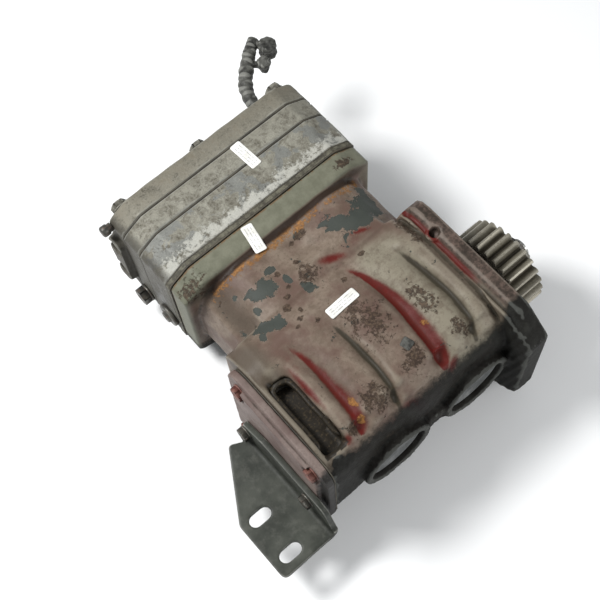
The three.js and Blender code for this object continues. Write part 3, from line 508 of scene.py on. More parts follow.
skin.mark("primer", seen * blots(x, z, [
    (44, 112, 14, 8, -20), (62, 104, 20, 12, 0), (80, 110, 15, 17, 0), (90, 126, 9, 14, 0),
    (32, 122, 6, 3, 0), (-50, 106, 9, 11, 30), (-62, 108, 7, 10, 40), (-74, 78, 12, 8, 0),
    (-64, 72, 7, 8, 0), (-20, 80, 5, 9, 20),
    (-30, 100, 4, 6, 0), (-70, 94, 4, 5, 0), (-36, 118, 6, 4, 0),
    (-14, 90, 3, 3, 0), (-76, 122, 3, 3, 0), (-84, 70, 4, 7, 0), (-92, 92, 4, 9, 0), (8, 131, 5, 3, 0)]))
skin.mark("brown", seen * np.maximum(blots(x, z, [
    (-33, 110, 3.5, 3.5, 0), (-34, 93, 3, 3, 0), (-42, 86, 4, 3, 20), (-49, 77, 4, 4, 0), (-41, 68, 3, 3, 0),
    (-47, 61, 4, 3, 0), (-37, 49, 4, 3, 30), (-55, 55, 4, 3, 0), (-12, 109, 3, 3, 0), (10, 129, 7, 5, 0),
    (-1, 128, 4, 3, 0), (38, 74, 5, 3, 0), (8, 64, 4, 3, 0), (-8, 34, 6, 3, -30), (2, 22, 3, 4, 0)]),
    0.72 * blots(x, z, [(-3, 16, 22, 34, 10), (2, -36, 18, 16, 0), (-46, -38, 18, 20, 0),
                        (-98, 156, 20, 14, 0), (-94, 130, 12, 8, 0), (48, 0, 12, 26, 0),
                        (56, -40, 14, 12, 0), (-80, -48, 12, 10, 0),
                        (-12, 92, 14, 14, 0), (88, 158, 14, 8, 0), (86, 60, 8, 30, 0)])))
skin.mark("orange", seen * np.maximum(blots(x, z, [
    (16, 137, 8, 4, 0), (2, 141, 10, 3, 0), (-30, 137, 12, 4, 5), (-55, 139, 12, 4, 3),
    (-78, 141, 10, 3, 0), (88, 141, 6, 5, 0), (-64, -28, 3, 8, 15), (-68, -44, 4, 4, 0),
    (34, -15, 5, 2.5, -40), (-96, 142, 6, 3, 0)]),
    0.5 * ramp(z, 126, 136) * (1 - ramp(z, 141, 147))))
grease = np.maximum(ramp(-z, 52 - 10 * seen, 74), 0.9 * ramp(muck, 0.3, 0.8))
grease = np.maximum(grease, 0.85 * ramp(x, 84, 100) * ramp(-z, 40, 62))
grease = np.maximum(grease, 0.7 * (1 - ramp(-y, -70, -10)))
skin.mark("grease", grease)
skin.mark("flange", ramp(x, 98, 100) * (1 - ramp(z, 100, 110)))
skin.mark("deck", ramp(z, 147.5, 149))
wide = skin.relief(10)
skin.mark("edge", ramp(wide, 0.25, 1.1))
skin.mark("nook", ramp(-wide, 0.15, 1.3))
skin.mark("valley_shade", valley_deep)
skin.mark("crease", crease)


def case_look(place):
    """Taupe and rosy paint, thin with wear over red, with chips to slate primer, rust, dust and black grease.
    """
    along, up, out = split(place)
    broad = place.grain(46.0, 5.0, 0.62)
    mottle = place.grain(11.0, 6.0, 0.7)
    speck = place.grain(2.6, 5.0, 0.72)
    ragged = place.torn(13.0, 8.0, 0.74, 2.2, warp=0.5)
    fine_ragged = place.torn(4.0, 6.0, 0.75, 2.2)
    edge, nook, grease = place.mark("edge"), place.mark("nook"), place.mark("grease")
    paint = broad.rise(0.38, 0.62).over((0.110, 0.070, 0.055), (0.190, 0.148, 0.114))
    olive = (place.mark("olive") * 0.75 + (broad - 0.5) * 0.6).rise(0.1, 0.7)
    paint = olive.over(paint, (0.215, 0.192, 0.145))
    paint = (mottle.rise(0.42, 0.66) * 0.55).over(paint, (0.098, 0.072, 0.052))
    shade = (place.mark("shade") * 0.9 + ragged * 0.2).rise(0.1, 0.8)
    paint = (shade * 0.85).over(paint, (0.072, 0.056, 0.042))
    ends = (along.rise(70.0, 94.0) + (along * -1).rise(82.0, 102.0)) * (1 - up.rise(64.0, 92.0))
    paint = ((ends + ragged * 0.25).rise(0.05, 1.0) * 0.72).over(paint, (0.078, 0.062, 0.045))
    # Painted shade: the valleys and the swales beside them are darkened.
    valley_shade = place.mark("valley_shade")
    valley_shade = (valley_shade * (0.35 + 0.65 * valley_shade) + ragged * 0.08).rise(0.06, 0.95)
    paint = (valley_shade * 0.8).over(paint, (0.050, 0.040, 0.025))
    # Painted shade along the crease bottoms.
    crease_shade = (place.mark("crease") + ragged * 0.12).rise(0.15, 0.75)
    paint = (crease_shade * 0.85).over(paint, (0.026, 0.021, 0.012))
    # Painted highlight: the ridges lightened towards pale cream.
    paint = (edge * 0.28).over(paint, (0.33, 0.30, 0.235))
    dusty = speck.rise(0.52, 0.70) * (broad * 1.3 + ragged * 0.5 - 0.25).rise(0.1, 0.75)
    paint = (dusty * 0.75).over(paint, (0.055, 0.041, 0.029))
    red = (place.mark("red") * 1.15 + ragged * 0.26 + fine_ragged * 0.12).rise(0.28, 0.85)
    paint = (red * 0.94).over(paint, mottle.over((0.122, 0.006, 0.004), (0.046, 0.004, 0.003)))
    deck = place.mark("deck")
    sage = mottle.rise(0.35, 0.7).over((0.115, 0.119, 0.085), (0.158, 0.161, 0.118))
    paint = (deck * 0.92).over(paint, sage)
    flaked = place.mark("primer") * 1.25 + ragged * 1.15 + fine_ragged * 0.45
    chip = flaked.rise(0.62, 0.66)
    stray = (place.grain(17.0, 7.0, 0.66, warp=0.6) + fine_ragged * 0.08).rise(0.665, 0.68) * (1 - deck)
    chip = chip | stray
    lip = flaked.band(0.565, 0.615, 0.02)
    paint = (lip * 0.35).over(paint, (0.33, 0.30, 0.24))
    paint = chip.over(paint, mottle.over((0.036, 0.041, 0.036), (0.058, 0.064, 0.055)))
    brown = (place.mark("brown") * 1.2 + ragged * 0.8 + fine_ragged * 0.8).rise(0.62, 0.80)
    paint = (brown * 0.9).over(paint, speck.rise(0.4, 0.7).over((0.026, 0.017, 0.012), (0.105, 0.072, 0.048)))
    rust = (place.mark("orange") * 1.1 + ragged * 0.9 + fine_ragged * 0.9).rise(0.50, 0.80)
    scale = speck.rise(0.38, 0.66).over((0.150, 0.072, 0.026), (0.33, 0.155, 0.045))
    paint = (rust * 0.85).over(paint, scale)
    shadow = up.band(140.5, 148.5, 1.8) * (1 - deck) * out.rise(50.0, 60.0)
    paint = (shadow * 0.95).over(paint, (0.020, 0.012, 0.008))
    ledge = up.band(168.6, 171.5, 0.8) * (fine_ragged + ragged * 0.5).rise(-0.15, 0.1)
    paint = (ledge * 0.7).over(paint, (0.14, 0.075, 0.035))
    # Painted shade in the nooks, broken up by mottled dirt.
    grime_and_nook_shade = (nook * 0.9 + (mottle - 0.5) * 0.9).rise(0.35, 0.8) * (1 - red * 0.8)
    paint = (grime_and_nook_shade * 0.8).over(paint, (0.034, 0.029, 0.020))
    # The pocket painted near black: painted shade in the recess, with brown specks.
    pocket_shade = place.mark("pocket").rise(0.1, 0.7)
    paint = (pocket_shade * 0.93).over(paint, speck.rise(0.5, 0.7).over((0.012, 0.010, 0.007), (0.062, 0.046, 0.026)))
    black = (grease + ragged * 0.22 + (mottle - 0.5) * 0.4).rise(0.34, 0.66)
    # Light grey on the grease's edges is partly rubbed wear and partly painted sheen; the light specks are
    # scratches.
    rubbed_and_sheen = (edge + (speck - 0.5) * 0.8).rise(0.55, 0.9)
    oily = mottle.rise(0.4, 0.7).over((0.003, 0.0035, 0.003), (0.016, 0.017, 0.015))
    oily = (rubbed_and_sheen * 0.55 + speck.rise(0.62, 0.74) * 0.4).over(oily, (0.085, 0.090, 0.083))
    paint = (black * 0.95).over(paint, oily)
    rim_paint = (ragged * 0.6 + fine_ragged * 0.5).rise(-0.2, 0.3)
    rim_paint = rim_paint.over((0.022, 0.017, 0.014), (0.118, 0.082, 0.068))
    # Painted highlight along the flange rim's edges.
    rim_paint = ((edge + fine_ragged * 0.4).rise(0.5, 0.9) * 0.5).over(rim_paint, (0.21, 0.170, 0.142))
    paint = (place.mark("flange") * (1 - black) * 0.85).over(paint, rim_paint)
    height = 0.16 * speck + 0.35 * mottle - 0.35 * chip - 0.22 * brown + 0.25 * rust * speck
    height = height + black * (1.2 * mottle + 0.6 * speck) - 0.12 * red
    gloss = 0.32 + 0.24 * mottle + 0.22 * brown + 0.3 * rust + 0.1 * speck + 0.10 * chip + 0.16 * black
    return {"Base Color": paint, "Roughness": gloss, "Specular IOR Level": 0.16}, height


def place_piece(name, mesh, material, body="housing", instead=()):
    """Puts a mesh made in machine millimetres into the frame as a piece that rides on a body."""
    mesh.transform(lying)
    mesh.materials.clear()
    mesh.materials.append(material)
    mesh.polygons.foreach_set("use_smooth", [True] * len(mesh.polygons))
    mesh.update()
    made = bpy.data.objects.new(name, mesh)
    bpy.context.collection.objects.link(made)
    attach(made, body)
    if instead:
        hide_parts(*instead)
    return made


case_paint = finish("case_paint", case_look)
skin.store()
case = place_piece("crankcase_casting", skin.mesh, case_paint, instead=["crankcase"])


# The head: cylinder head, coolant plate and cover, three sand castings in grey aluminium with rounded
# corners, furred with white oxide near the block and stained brown above.
def head_look(place):
    """Bare cast aluminium: grey, clouded, with chalky white oxide, brown oil stain and dark seams."""
    along, up, _ = split(place)
    broad = place.grain(30.0, 5.0, 0.6, warp=0.3)
    mottle = place.grain(9.0, 7.0, 0.68)
    speck = place.grain(1.8, 5.0, 0.75)
    ragged = place.torn(11.0, 8.0, 0.74, 2.4, warp=0.5)
    crumbs = place.torn(3.5, 6.0, 0.75, 2.4)
    edge, nook = place.mark("edge"), place.mark("nook")
    metal = (ragged * 0.5 + 0.5).rise(0.30, 0.70).over((0.115, 0.105, 0.080), (0.245, 0.238, 0.195))
    metal = ((crumbs * 0.5 + 0.45).rise(0.35, 0.75) * 0.6).over(metal, (0.320, 0.312, 0.265))
    smooth_patch = (broad * 2.0 - 0.5 + ragged * 0.35).rise(0.52, 0.57) * (1 - up.rise(216.0, 224.0))
    metal = (smooth_patch * 0.8).over(metal, (0.150, 0.155, 0.145))
    low = 1 - up.rise(182.0, 214.0)
    oxide = (low * 0.62 + ragged * 0.45 + crumbs * 0.35).rise(0.44, 0.62)
    oxide = oxide | ((ragged * 0.6 + crumbs * 0.6).rise(0.42, 0.8) * 0.5)
    metal = (oxide * 0.85).over(metal, speck.over((0.30, 0.295, 0.255), (0.58, 0.575, 0.52)))
    stain = (up.rise(214.0, 262.0) * 0.40 + ragged * 0.5 + crumbs * 0.25).rise(0.15, 0.65)
    metal = (stain * 0.7).over(metal, (0.100, 0.079, 0.050))
    grit = speck.rise(0.52, 0.66) * (0.55 - ragged * 0.8).rise(0.2, 0.8)
    metal = (grit * 0.7).over(metal, (0.050, 0.042, 0.031))
    # Darker towards the rear end.
    rear_end_darkening = ((along * -1).rise(98.0, 114.0) * 0.75 + ragged * 0.4 + crumbs * 0.2).rise(0.3, 0.75)
    metal = (rear_end_darkening * 0.75).over(metal, (0.040, 0.036, 0.029))
    # Dark joint lines, with painted shade added in the nooks.
    seams_and_nook_shade = (up.band(216.2, 219.6, 0.35) | up.band(241.4, 244.6, 0.35)) | (1 - up.rise(177.6, 179.0))
    seams_and_nook_shade = (seams_and_nook_shade * 0.7 + nook * 0.6 + (mottle - 0.5) * 0.5).rise(0.4, 0.85)
    metal = (seams_and_nook_shade * 0.8).over(metal, (0.032, 0.026, 0.018))
    metal = ((edge + (speck - 0.5) * 0.7).rise(0.6, 1.0) * 0.35).over(metal, (0.36, 0.36, 0.32))
    height = 0.45 * speck + 0.9 * mottle + 0.6 * oxide * speck - 0.3 * grit
    gloss = 0.46 + 0.16 * mottle + 0.25 * oxide - 0.12 * smooth_patch
    metallic = 0.15 * (1 - oxide)
    return {"Base Color": metal, "Roughness": gloss, "Metallic": metallic, "Specular IOR Level": 0.3}, height


HEAD_FACET = 1.55
head_metal = finish("head_metal", head_look)


def cast_piece(node, name, facet, rounds, material, lump=0.35, hold=None):
    """A CAD node as a sand casting: fine skin, rounded edges, and a slightly uneven surface."""
    low, high = (lying.inverted() @ Vector(corner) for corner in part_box(node))
    low, high = np.minimum(low, high), np.maximum(low, high)
    cast = Skin(fine_skin(name, welded(node), facet))
    held = hold(cast.points[:, 2]) if hold else 0.0
    cast.rub(rounds, held)
    normals = cast.normals()
    x, y, z = cast.points.T
    uneven = np.sin(x / 7.0 + 1.3 * np.sin(z / 5.0 + y / 9.0)) * np.sin(z / 6.1 + y / 8.3 + x / 15.0)
    cast.points += normals * (lump * (uneven - 0.4) * (1 - held))[:, None]
    cast.points[:] = np.clip(cast.points, low, high)
    wide = cast.relief(8)
    cast.mark("edge", ramp(wide, 0.2, 0.9))
    cast.mark("nook", ramp(-wide, 0.12, 1.0))
    cast.store()
    return place_piece(name, cast.mesh, material, instead=[node])


def joint_faces(z):
    """1 at the machined joint faces of the head, which stay flat and sharp edged."""
    planes = (178.2, 217.2, 218.8, 242.3, 243.9)
    return np.maximum.reduce([1 - ramp(np.abs(z - plane), 0.8, 2.2) for plane in planes])


head_pieces = [
    cast_piece(node, name, HEAD_FACET, rounds, head_metal, hold=joint_faces)
    for node, name, rounds in [("cylinder_head", "cylinder_head_casting", 4),
                               ("intermediate_plate", "coolant_plate_casting", 4),
                               ("head_cover", "head_cover_casting", 5)]]


# The joints of the head: pressed steel valve plate between paper gaskets, seen only as thin dark lines
# with oil weeping out of them.
gasket_paper = finish("gasket_fibre", clouded(
    (14.0, 5.0, 0.6), (0.35, 0.7), ((0.034, 0.030, 0.022), (0.085, 0.074, 0.052)),
    (1.2, 5.0, 0.7), (0.5, 0.75, 0.5, (0.13, 0.115, 0.085)), (0.6, 0.25), (0.0, 0.1)))


def give(material, *nodes):
    """A CAD node whose shape is right keeps it and gets this finish."""
    for node in nodes:
        for spot in frame["nodes"][node].material_slots:
            spot.material = material


give(gasket_paper, "block_gasket", "head_gasket", "plate_gasket", "cover_gasket", "rear_cover_gasket")


# The valve plate: bare steel between the oily gaskets, its edge brown black and crusted with old sealant.
give(finish("valve_plate_edge", clouded(
    (6.0, 7.0, 0.74), (0.40, 0.60), ((0.050, 0.046, 0.034), (0.125, 0.118, 0.086)),
    (1.6, 5.0, 0.7), (0.52, 0.68, 0.6, (0.032, 0.026, 0.018)), (0.5, 0.25), (0.3, 0.1),
    **{"Specular IOR Level": 0.25})), "valve_plate")


# The rear cover: a cast lid over the crank bearing with a raised middle, painted with the case and turned
# rosy with age, and held by four hexagon bolts.
def cover_look(place):
    """Rosy grey paint, red at the edges, painted brown shade in the nooks, black with grease at the foot."""
    up = split(place)[1]
    broad = place.grain(28.0, 5.0, 0.6)
    mottle = place.grain(7.0, 6.0, 0.68)
    speck = place.grain(1.8, 5.0, 0.72)
    ragged = place.torn(10.0, 7.0, 0.7, 1.6)
    edge, nook = place.mark("edge"), place.mark("nook")
    paint = broad.rise(0.35, 0.65).over((0.120, 0.082, 0.072), (0.190, 0.148, 0.130))
    paint = (mottle.rise(0.45, 0.72) * 0.5).over(paint, (0.070, 0.046, 0.038))
    paint = ((edge * 0.5 + ragged * 0.5).rise(0.42, 0.8) * 0.6).over(paint, (0.10, 0.024, 0.019))
    # Painted shade: darker brown in the nooks, broken up by mottle.
    paint = ((nook + (mottle - 0.5) * 0.8).rise(0.35, 0.8) * 0.8).over(paint, (0.042, 0.033, 0.026))
    paint = (speck.rise(0.58, 0.72) * 0.6).over(paint, (0.06, 0.04, 0.032))
    grease = ((up * -1).rise(46.0, 66.0) * 0.9 + ragged * 0.4 + (mottle - 0.5) * 0.5).rise(0.35, 0.7)
    oily = speck.rise(0.5, 0.7).over((0.007, 0.007, 0.006), (0.040, 0.040, 0.036))
    paint = (grease * 0.95).over(paint, oily)
    height = 0.14 * speck + 0.25 * mottle
    return {"Base Color": paint, "Roughness": 0.42 + 0.25 * mottle, "Specular IOR Level": 0.22}, height


cover_paint = finish("cover_paint_rosy", cover_look)
FINE_FACET = 1.25
cast_piece("rear_cover", "rear_cover_casting", FINE_FACET, 3, cover_paint, lump=0.15)

# The bracket: steel plate, folded once, slotted for adjustment and bolted through the rear cover. Worn
# olive grey paint.
def bracket_look(place):
    """Olive grey paint on folded steel plate, rubbed bright at edges, darker to the fold, painted shade in
    nooks.
    """
    along = split(place)[0]
    broad = place.grain(40.0, 5.0, 0.6)
    mottle = place.grain(8.0, 6.0, 0.66)
    speck = place.grain(1.5, 4.0, 0.7)
    ragged = place.torn(9.0, 7.0, 0.7, 1.6)
    edge, nook = place.mark("edge"), place.mark("nook")
    paint = broad.rise(0.35, 0.65).over((0.026, 0.029, 0.023), (0.056, 0.060, 0.049))
    paint = (mottle.rise(0.45, 0.75) * 0.35).over(paint, (0.13, 0.13, 0.112))
    fold = 1 - (along * -1).rise(139.0, 160.0)
    # Darker towards the fold, and painted shade in the nooks.
    fold_dark_and_nook_shade = (fold * 0.5 + ragged * 0.5 + nook * 0.4).rise(0.35, 0.8)
    paint = (fold_dark_and_nook_shade * 0.75).over(paint, (0.018, 0.019, 0.016))
    scuff = (edge * 0.9 + (speck - 0.5) * 0.5).rise(0.4, 0.85)
    paint = (scuff * 0.55).over(paint, (0.30, 0.30, 0.27))
    paint = (speck.rise(0.62, 0.72) * 0.6).over(paint, (0.04, 0.036, 0.03))
    height = 0.08 * speck + 0.14 * mottle + 0.2 * fold_dark_and_nook_shade * speck
    gloss = 0.34 + 0.2 * mottle + 0.2 * fold_dark_and_nook_shade
    return {"Base Color": paint, "Roughness": gloss, "Specular IOR Level": 0.25}, height


bracket_paint = finish("bracket_paint_worn", bracket_look)
BRACKET_FACET = 1.1
cast_piece("mounting_bracket", "mounting_bracket_plate", BRACKET_FACET, 3, bracket_paint,
           lump=0.0)


# The screws and round fittings: forged hexagon heads with a chamfered crown, and turned plugs, all dull
# steel under oil and rust.
def steel_look(place):
    """Dark oily steel with rust in patches and bright rubbed spots."""
    broad = place.grain(12.0, 5.0, 0.6)
    mottle = place.grain(4.0, 6.0, 0.7)
    speck = place.grain(1.0, 4.0, 0.7)
    metal = broad.rise(0.35, 0.65).over((0.055, 0.054, 0.048), (0.135, 0.130, 0.112))
    rust = (mottle + (speck - 0.5) * 0.4).rise(0.52, 0.66)
    metal = (rust * 0.55).over(metal, (0.095, 0.050, 0.030))
    metal = (speck.rise(0.6, 0.75) * 0.5).over(metal, (0.26, 0.25, 0.22))
    return {"Base Color": metal, "Roughness": 0.38 + 0.3 * rust, "Metallic": 0.55 * (1 - rust)}, (
        0.12 * mottle + 0.08 * speck)


oily_steel = finish("oily_steel", steel_look)


# The rear cover's bolts were painted over with the case and have chipped to rust.
painted_bolt = finish("painted_bolt", clouded(
    (4.0, 6.0, 0.7), (0.38, 0.62), ((0.110, 0.034, 0.026), (0.190, 0.085, 0.065)),
    (1.0, 4.0, 0.7), (0.55, 0.7, 0.7, (0.04, 0.022, 0.016)), (0.45, 0.25), (0.12, 0.1)))
# The head's bolts are zinc plated, gone grey brown under the same oxide and oil as the head.
dull_zinc = finish("dull_zinc", clouded(
    (5.0, 7.0, 0.72), (0.38, 0.64), ((0.085, 0.078, 0.060), (0.230, 0.222, 0.185)),
    (1.2, 5.0, 0.7), (0.52, 0.68, 0.6, (0.045, 0.038, 0.028)), (0.45, 0.25), (0.2, 0.1), Metallic=0.2))


def basis(along):
    """A turn that carries the z axis onto the given direction."""
    return Vector(along).to_track_quat("Z", "Y").to_matrix().to_4x4()


def hex_reach(flats, crown):
    """How a lathe's round section becomes a hexagon: flats wide, with corners dropped below the crown."""
    def reach(radius, height, turn):
        part = (turn % (math.pi / 3)) - math.pi / 6
        corner = flats / 2 / math.cos(part)
        if radius >= flats / 2:
            return corner, height - (0.55 * (corner - flats / 2) if height >= crown - 0.01 else 0)
        return radius, height
    return reach


def closed(form):
    """Joins touching points, closes the ends and turns all faces outward."""
    bmesh.ops.remove_doubles(form, verts=form.verts, dist=0.002)
    bmesh.ops.recalc_face_normals(form, faces=form.faces)
    return form


def mesh_of(name, form):
    mesh = bpy.data.meshes.new(name)
    closed(form).to_mesh(mesh)
    form.free()
    return mesh


def screw(name, node, seat, along, flats, height, washer, shank, material=None, body="housing"):
    """A hexagon screw on its seat: washer, head with a chamfered crown and a low dish, shank below."""
    form = bmesh.new()
    place = Matrix.Translation(seat) @ basis(along)
    radius, length = shank
    if washer:
        rim = flats * 0.60
        lathe(form, place, [(0, 0.0), (rim - 0.3, 0.0), (rim, 0.3), (rim, washer - 0.4), (rim - 0.4, washer),
                            (0, washer)], 36)
    top = washer + height
    lathe(form, place, [(0, washer + 0.02), (flats / 2, washer + 0.02), (flats / 2, top - 0.25),
                        (flats / 2, top), (flats / 2 * 0.93, top), (flats * 0.27, top - 0.1),
                        (flats * 0.22, top - 0.7), (0, top - 0.7)], 72, hex_reach(flats, top))
    lathe(form, place, [(0, -length), (radius - 0.8, -length), (radius, 0.8 - length), (radius, -0.05),
                        (0, -0.05)], 24)
    return place_piece(name, mesh_of(name, form), material or oily_steel, body=body,
                       instead=[node])


number = 0
for bolt_x in (-97, 0, 97):
    for bolt_y in (-60.5, 60.5):
        number += 1
        screw(f"head_screw_{number}", f"head_bolt_{number}", (bolt_x, bolt_y, 266.9), (0, 0, 1),
              15.5, 6.0, 1.6, (4.8, 110), dull_zinc)
for number, (bolt_y, bolt_z) in enumerate([(-54, 52), (54, 52), (-54, -48), (54, -48)], start=1):
    screw(f"rear_screw_{number}", f"rear_bolt_{number}", (-127.6, bolt_y, bolt_z), (-1, 0, 0),
          13.5, 5.4, 1.4, (3.9, 24), painted_bolt)
for number, (bolt_y, bolt_z) in enumerate([(20, 40), (11, -50)], start=1):
    screw(f"bracket_screw_{number}", f"bracket_bolt_{number}", (-138.9, bolt_y, bolt_z), (-1, 0, 0),
          13.5, 5.4, 1.4, (3.9, 13))


def turned_piece(name, node, seat, along, profile, material, body="housing", around=48):
    form = bmesh.new()
    lathe(form, Matrix.Translation(seat) @ basis(along), profile, around)
    return place_piece(name, mesh_of(name, form), material, body=body, instead=[node])


def plug_look(place):
    """Pressed steel core plug: smooth grey, clouded with oil and finely speckled."""
    cloud = place.grain(22.0, 5.0, 0.55)
    mottle = place.grain(5.0, 6.0, 0.68)
    speck = place.grain(1.1, 4.0, 0.7)
    metal = cloud.rise(0.35, 0.65).over((0.085, 0.089, 0.088), (0.150, 0.155, 0.154))
    metal = (mottle.rise(0.5, 0.7) * 0.4).over(metal, (0.060, 0.060, 0.057))
    metal = (speck.rise(0.6, 0.75) * 0.4).over(metal, (0.24, 0.24, 0.23))
    height = 0.08 * speck + 0.1 * mottle
    return {"Base Color": metal, "Roughness": 0.40 + 0.25 * mottle, "Metallic": 0.1}, height


plug_steel = finish("core_plug_steel", plug_look)
for number, plug_x in enumerate((-CYLINDER_X, CYLINDER_X), start=1):
    turned_piece(f"core_plug_disc_{number}", f"core_plug_{number}", (plug_x, 0, -62.6), (0, 0, -1),
                 [(0, 1.6), (22, 1.6), (28.5, 1.2), (29.6, 0.0), (31.5, 0.0), (31.65, 1.0), (31.65, 8.0),
                  (31.1, 8.6), (30.2, 8.6), (29.6, 8.0), (29.2, 5.8), (27.5, 4.9), (16, 4.6), (0, 4.6)],
                 plug_steel, around=96)
turned_piece("coolant_screw_cap", "coolant_cap", (-115.4, 36, 191), (-1, 0, 0),
             [(0, 0), (13.3, 0), (13.4, 3.2), (12.4, 4.0), (8.2, 4.2), (7.6, 3.4), (6.8, 3.4), (6.2, 6.4),
              (5.4, 6.8), (3.0, 6.8), (2.6, 5.6), (0, 5.6)], oily_steel)
turned_piece("breather_push_knob", "breather_knob", (-115.4, -57, 262), (-1, 0, 0),
             [(0, 0), (4.6, 0), (4.6, 3.4), (5.8, 4.2), (5.9, 9.6), (5.2, 11.2), (3.4, 11.8), (0, 11.8)],
             oily_steel)
screw("port_screw_plug", "port_plug", (-115.4, 49, 231), (-1, 0, 0), 17.0, 8.4, 2.2, (5.0, 0.2))


# The drive gear: hobbed spur gear, its flanks bright from the mesh and its root dark with oil, keyed on
# the taper of the crankshaft behind a washer and nut.
def gear_look(place):
    """Bright olive tinged steel, brushed along the teeth, dark in the roots."""
    lines = place.stretched(0.06, 1.0, 1.0).grain(0.9, 4.0, 0.6)
    cloud = place.grain(9.0, 5.0, 0.6)
    speck = place.grain(1.4, 4.0, 0.7)
    edge, nook = place.mark("edge"), place.mark("nook")
    metal = cloud.rise(0.3, 0.7).over((0.120, 0.108, 0.080), (0.200, 0.184, 0.142))
    metal = (edge * 0.6).over(metal, (0.40, 0.375, 0.31))
    metal = (nook * 0.9).over(metal, (0.055, 0.046, 0.032))
    metal = ((speck + cloud * 0.3).rise(0.66, 0.82) * 0.6).over(metal, (0.085, 0.066, 0.042))
    return {"Base Color": metal, "Roughness": 0.40 + 0.14 * lines + 0.2 * nook, "Metallic": 0.45}, (
        0.05 * lines + 0.04 * speck)


gear_steel = finish("gear_steel", gear_look)
TEETH = 25
MODULE = 3.5
GEAR_WIDTH = 32.0
GEAR_FRONT = GEAR_BACK + GEAR_WIDTH
BORE = 18.4


def tooth_outline(grow):
    """The gear's rim as (radius, turn, shine) triples: root fillet, curved flank, rounded tip."""
    pitch = MODULE * TEETH / 2
    root, tip = pitch - 1.24 * MODULE, pitch + MODULE - grow
    rows = [(root, 0.0, 0.0), (root, 0.085, 0.0), (root + 0.5, 0.14, 0.05), (root + 1.6, 0.178, 0.3),
            (pitch - 1.2, 0.212, 0.5), (pitch, 0.25, 0.6), (pitch + 1.4, 0.312, 0.7), (tip - 0.6, 0.380, 0.9),
            (tip, 0.415, 1.0), (tip, 0.5, 1.0)]
    rows += [(radius, 1 - turn, shine) for radius, turn, shine in reversed(rows[1:-1])]
    return [(min(radius, tip), (tooth + turn) * 2 * math.pi / TEETH, shine)
            for tooth in range(TEETH) for radius, turn, shine in rows]


form = bmesh.new()
edge_layer = form.verts.layers.float.new("edge")
nook_layer = form.verts.layers.float.new("nook")
rings = []


def gear_ring(x_place, radius, grow=0.0, shine=None):
    """One more ring of the gear, round where a radius is given and toothed where it isn't."""
    ring = []
    for reach, turn, bright in tooth_outline(grow):
        far = reach if radius is None else radius
        # the first gap between teeth stands where the keyway is, so that the gear meshes as the solid does
        spot = form.verts.new((x_place, far * math.cos(turn + math.pi / TEETH),
                               far * math.sin(turn + math.pi / TEETH)))
        spot[edge_layer] = bright ** 3 if shine is None else shine
        spot[nook_layer] = max(0.0, 1 - bright * 2.6) if radius is None else 0.15
        ring.append(spot)
    rings.append(ring)


for depth, radius in [(0, BORE), (0, 30.0), (2.5, 31.0), (2.5, 36.0), (0, 37.0), (0, 38.6)]:
    gear_ring(GEAR_BACK + depth, radius, shine=0.2)
gear_ring(GEAR_BACK, None, 1.0)
for step in range(6):
    gear_ring(GEAR_BACK + 1.0 + step * 5.0, None)
gear_ring(GEAR_FRONT - 1.0, None)
gear_ring(GEAR_FRONT, None, 1.0)
for depth, radius in [(0, 38.4), (0, 36.5), (3.0, 35.0), (3.0, 25.5), (0.4, 24.5), (0.05, 24.0), (0.05, 19.0),
                      (0.6, BORE)]:
    gear_ring(GEAR_FRONT - depth, radius, shine=0.25)
rings.append(rings[0])
join(form, rings)
gear_mesh = mesh_of("drive_gear_hobbed", form)
place_piece("drive_gear_hobbed", gear_mesh, gear_steel, "crankshaft", ["drive_gear"])
gear_mesh.set_sharp_from_angle(angle=math.radians(38))


def machined_look(place):
    """Ground and turned steel, lightly oiled."""
    cloud = place.grain(14.0, 5.0, 0.6)
    lines = place.stretched(1.0, 0.15, 0.15).grain(0.7, 4.0)
    speck = place.grain(1.2, 4.0, 0.7)
    metal = cloud.rise(0.3, 0.7).over((0.30, 0.295, 0.275), (0.47, 0.465, 0.44))
    metal = (speck.rise(0.6, 0.75) * 0.4).over(metal, (0.12, 0.10, 0.075))
    return {"Base Color": metal, "Roughness": 0.24 + 0.16 * lines + 0.1 * cloud, "Metallic": 0.85}, (
        0.04 * lines + 0.03 * speck)


machined_steel = finish("machined_steel_oiled", machined_look)
form = bmesh.new()
turn_seat = Matrix.Translation((166.3, 0, 0)) @ basis((1, 0, 0))
lathe(form, turn_seat, [(BORE, 0.2), (BORE, 2.8), (18.8, 3.0), (21.4, 3.0), (21.9, 2.5), (21.9, 0.4),
                        (21.5, 0), (18.8, 0), (BORE, 0.2)], 64)
place_piece("gear_nut_washer", mesh_of("gear_nut_washer", form), oily_steel, "crankshaft",
            ["gear_washer"])

# The crankshaft, rods, pins, rings and bearings: forged and ground steel, all inside the case but for the
# threaded end of the crankshaft.
give(machined_steel, "crankshaft", "rod_1", "rod_2", "rod_cap_1", "rod_cap_2", "wrist_pin_1", "wrist_pin_2",
     "suction_reed_1", "suction_reed_2", "discharge_reed_1", "discharge_reed_2")
give(oily_steel, "gear_key", "gear_nut", "crank_oil_plug_1", "crank_oil_plug_2", "piston_ring_1",
     "piston_ring_2", "rod_bolt_1_left", "rod_bolt_1_right", "rod_bolt_2_left", "rod_bolt_2_right")


def piston_look(place):
    """Turned aluminium with fine tool rings and a brown varnish of burnt oil."""
    lines = place.stretched(0.1, 1.0, 0.1).grain(0.6, 3.0)
    cloud = place.grain(12.0, 5.0)
    metal = cloud.rise(0.35, 0.7).over((0.42, 0.42, 0.40), (0.24, 0.20, 0.14))
    return {"Base Color": metal, "Roughness": 0.3 + 0.2 * lines, "Metallic": 0.8}, 0.05 * lines


give(finish("piston_metal", piston_look), "piston_1", "piston_2")


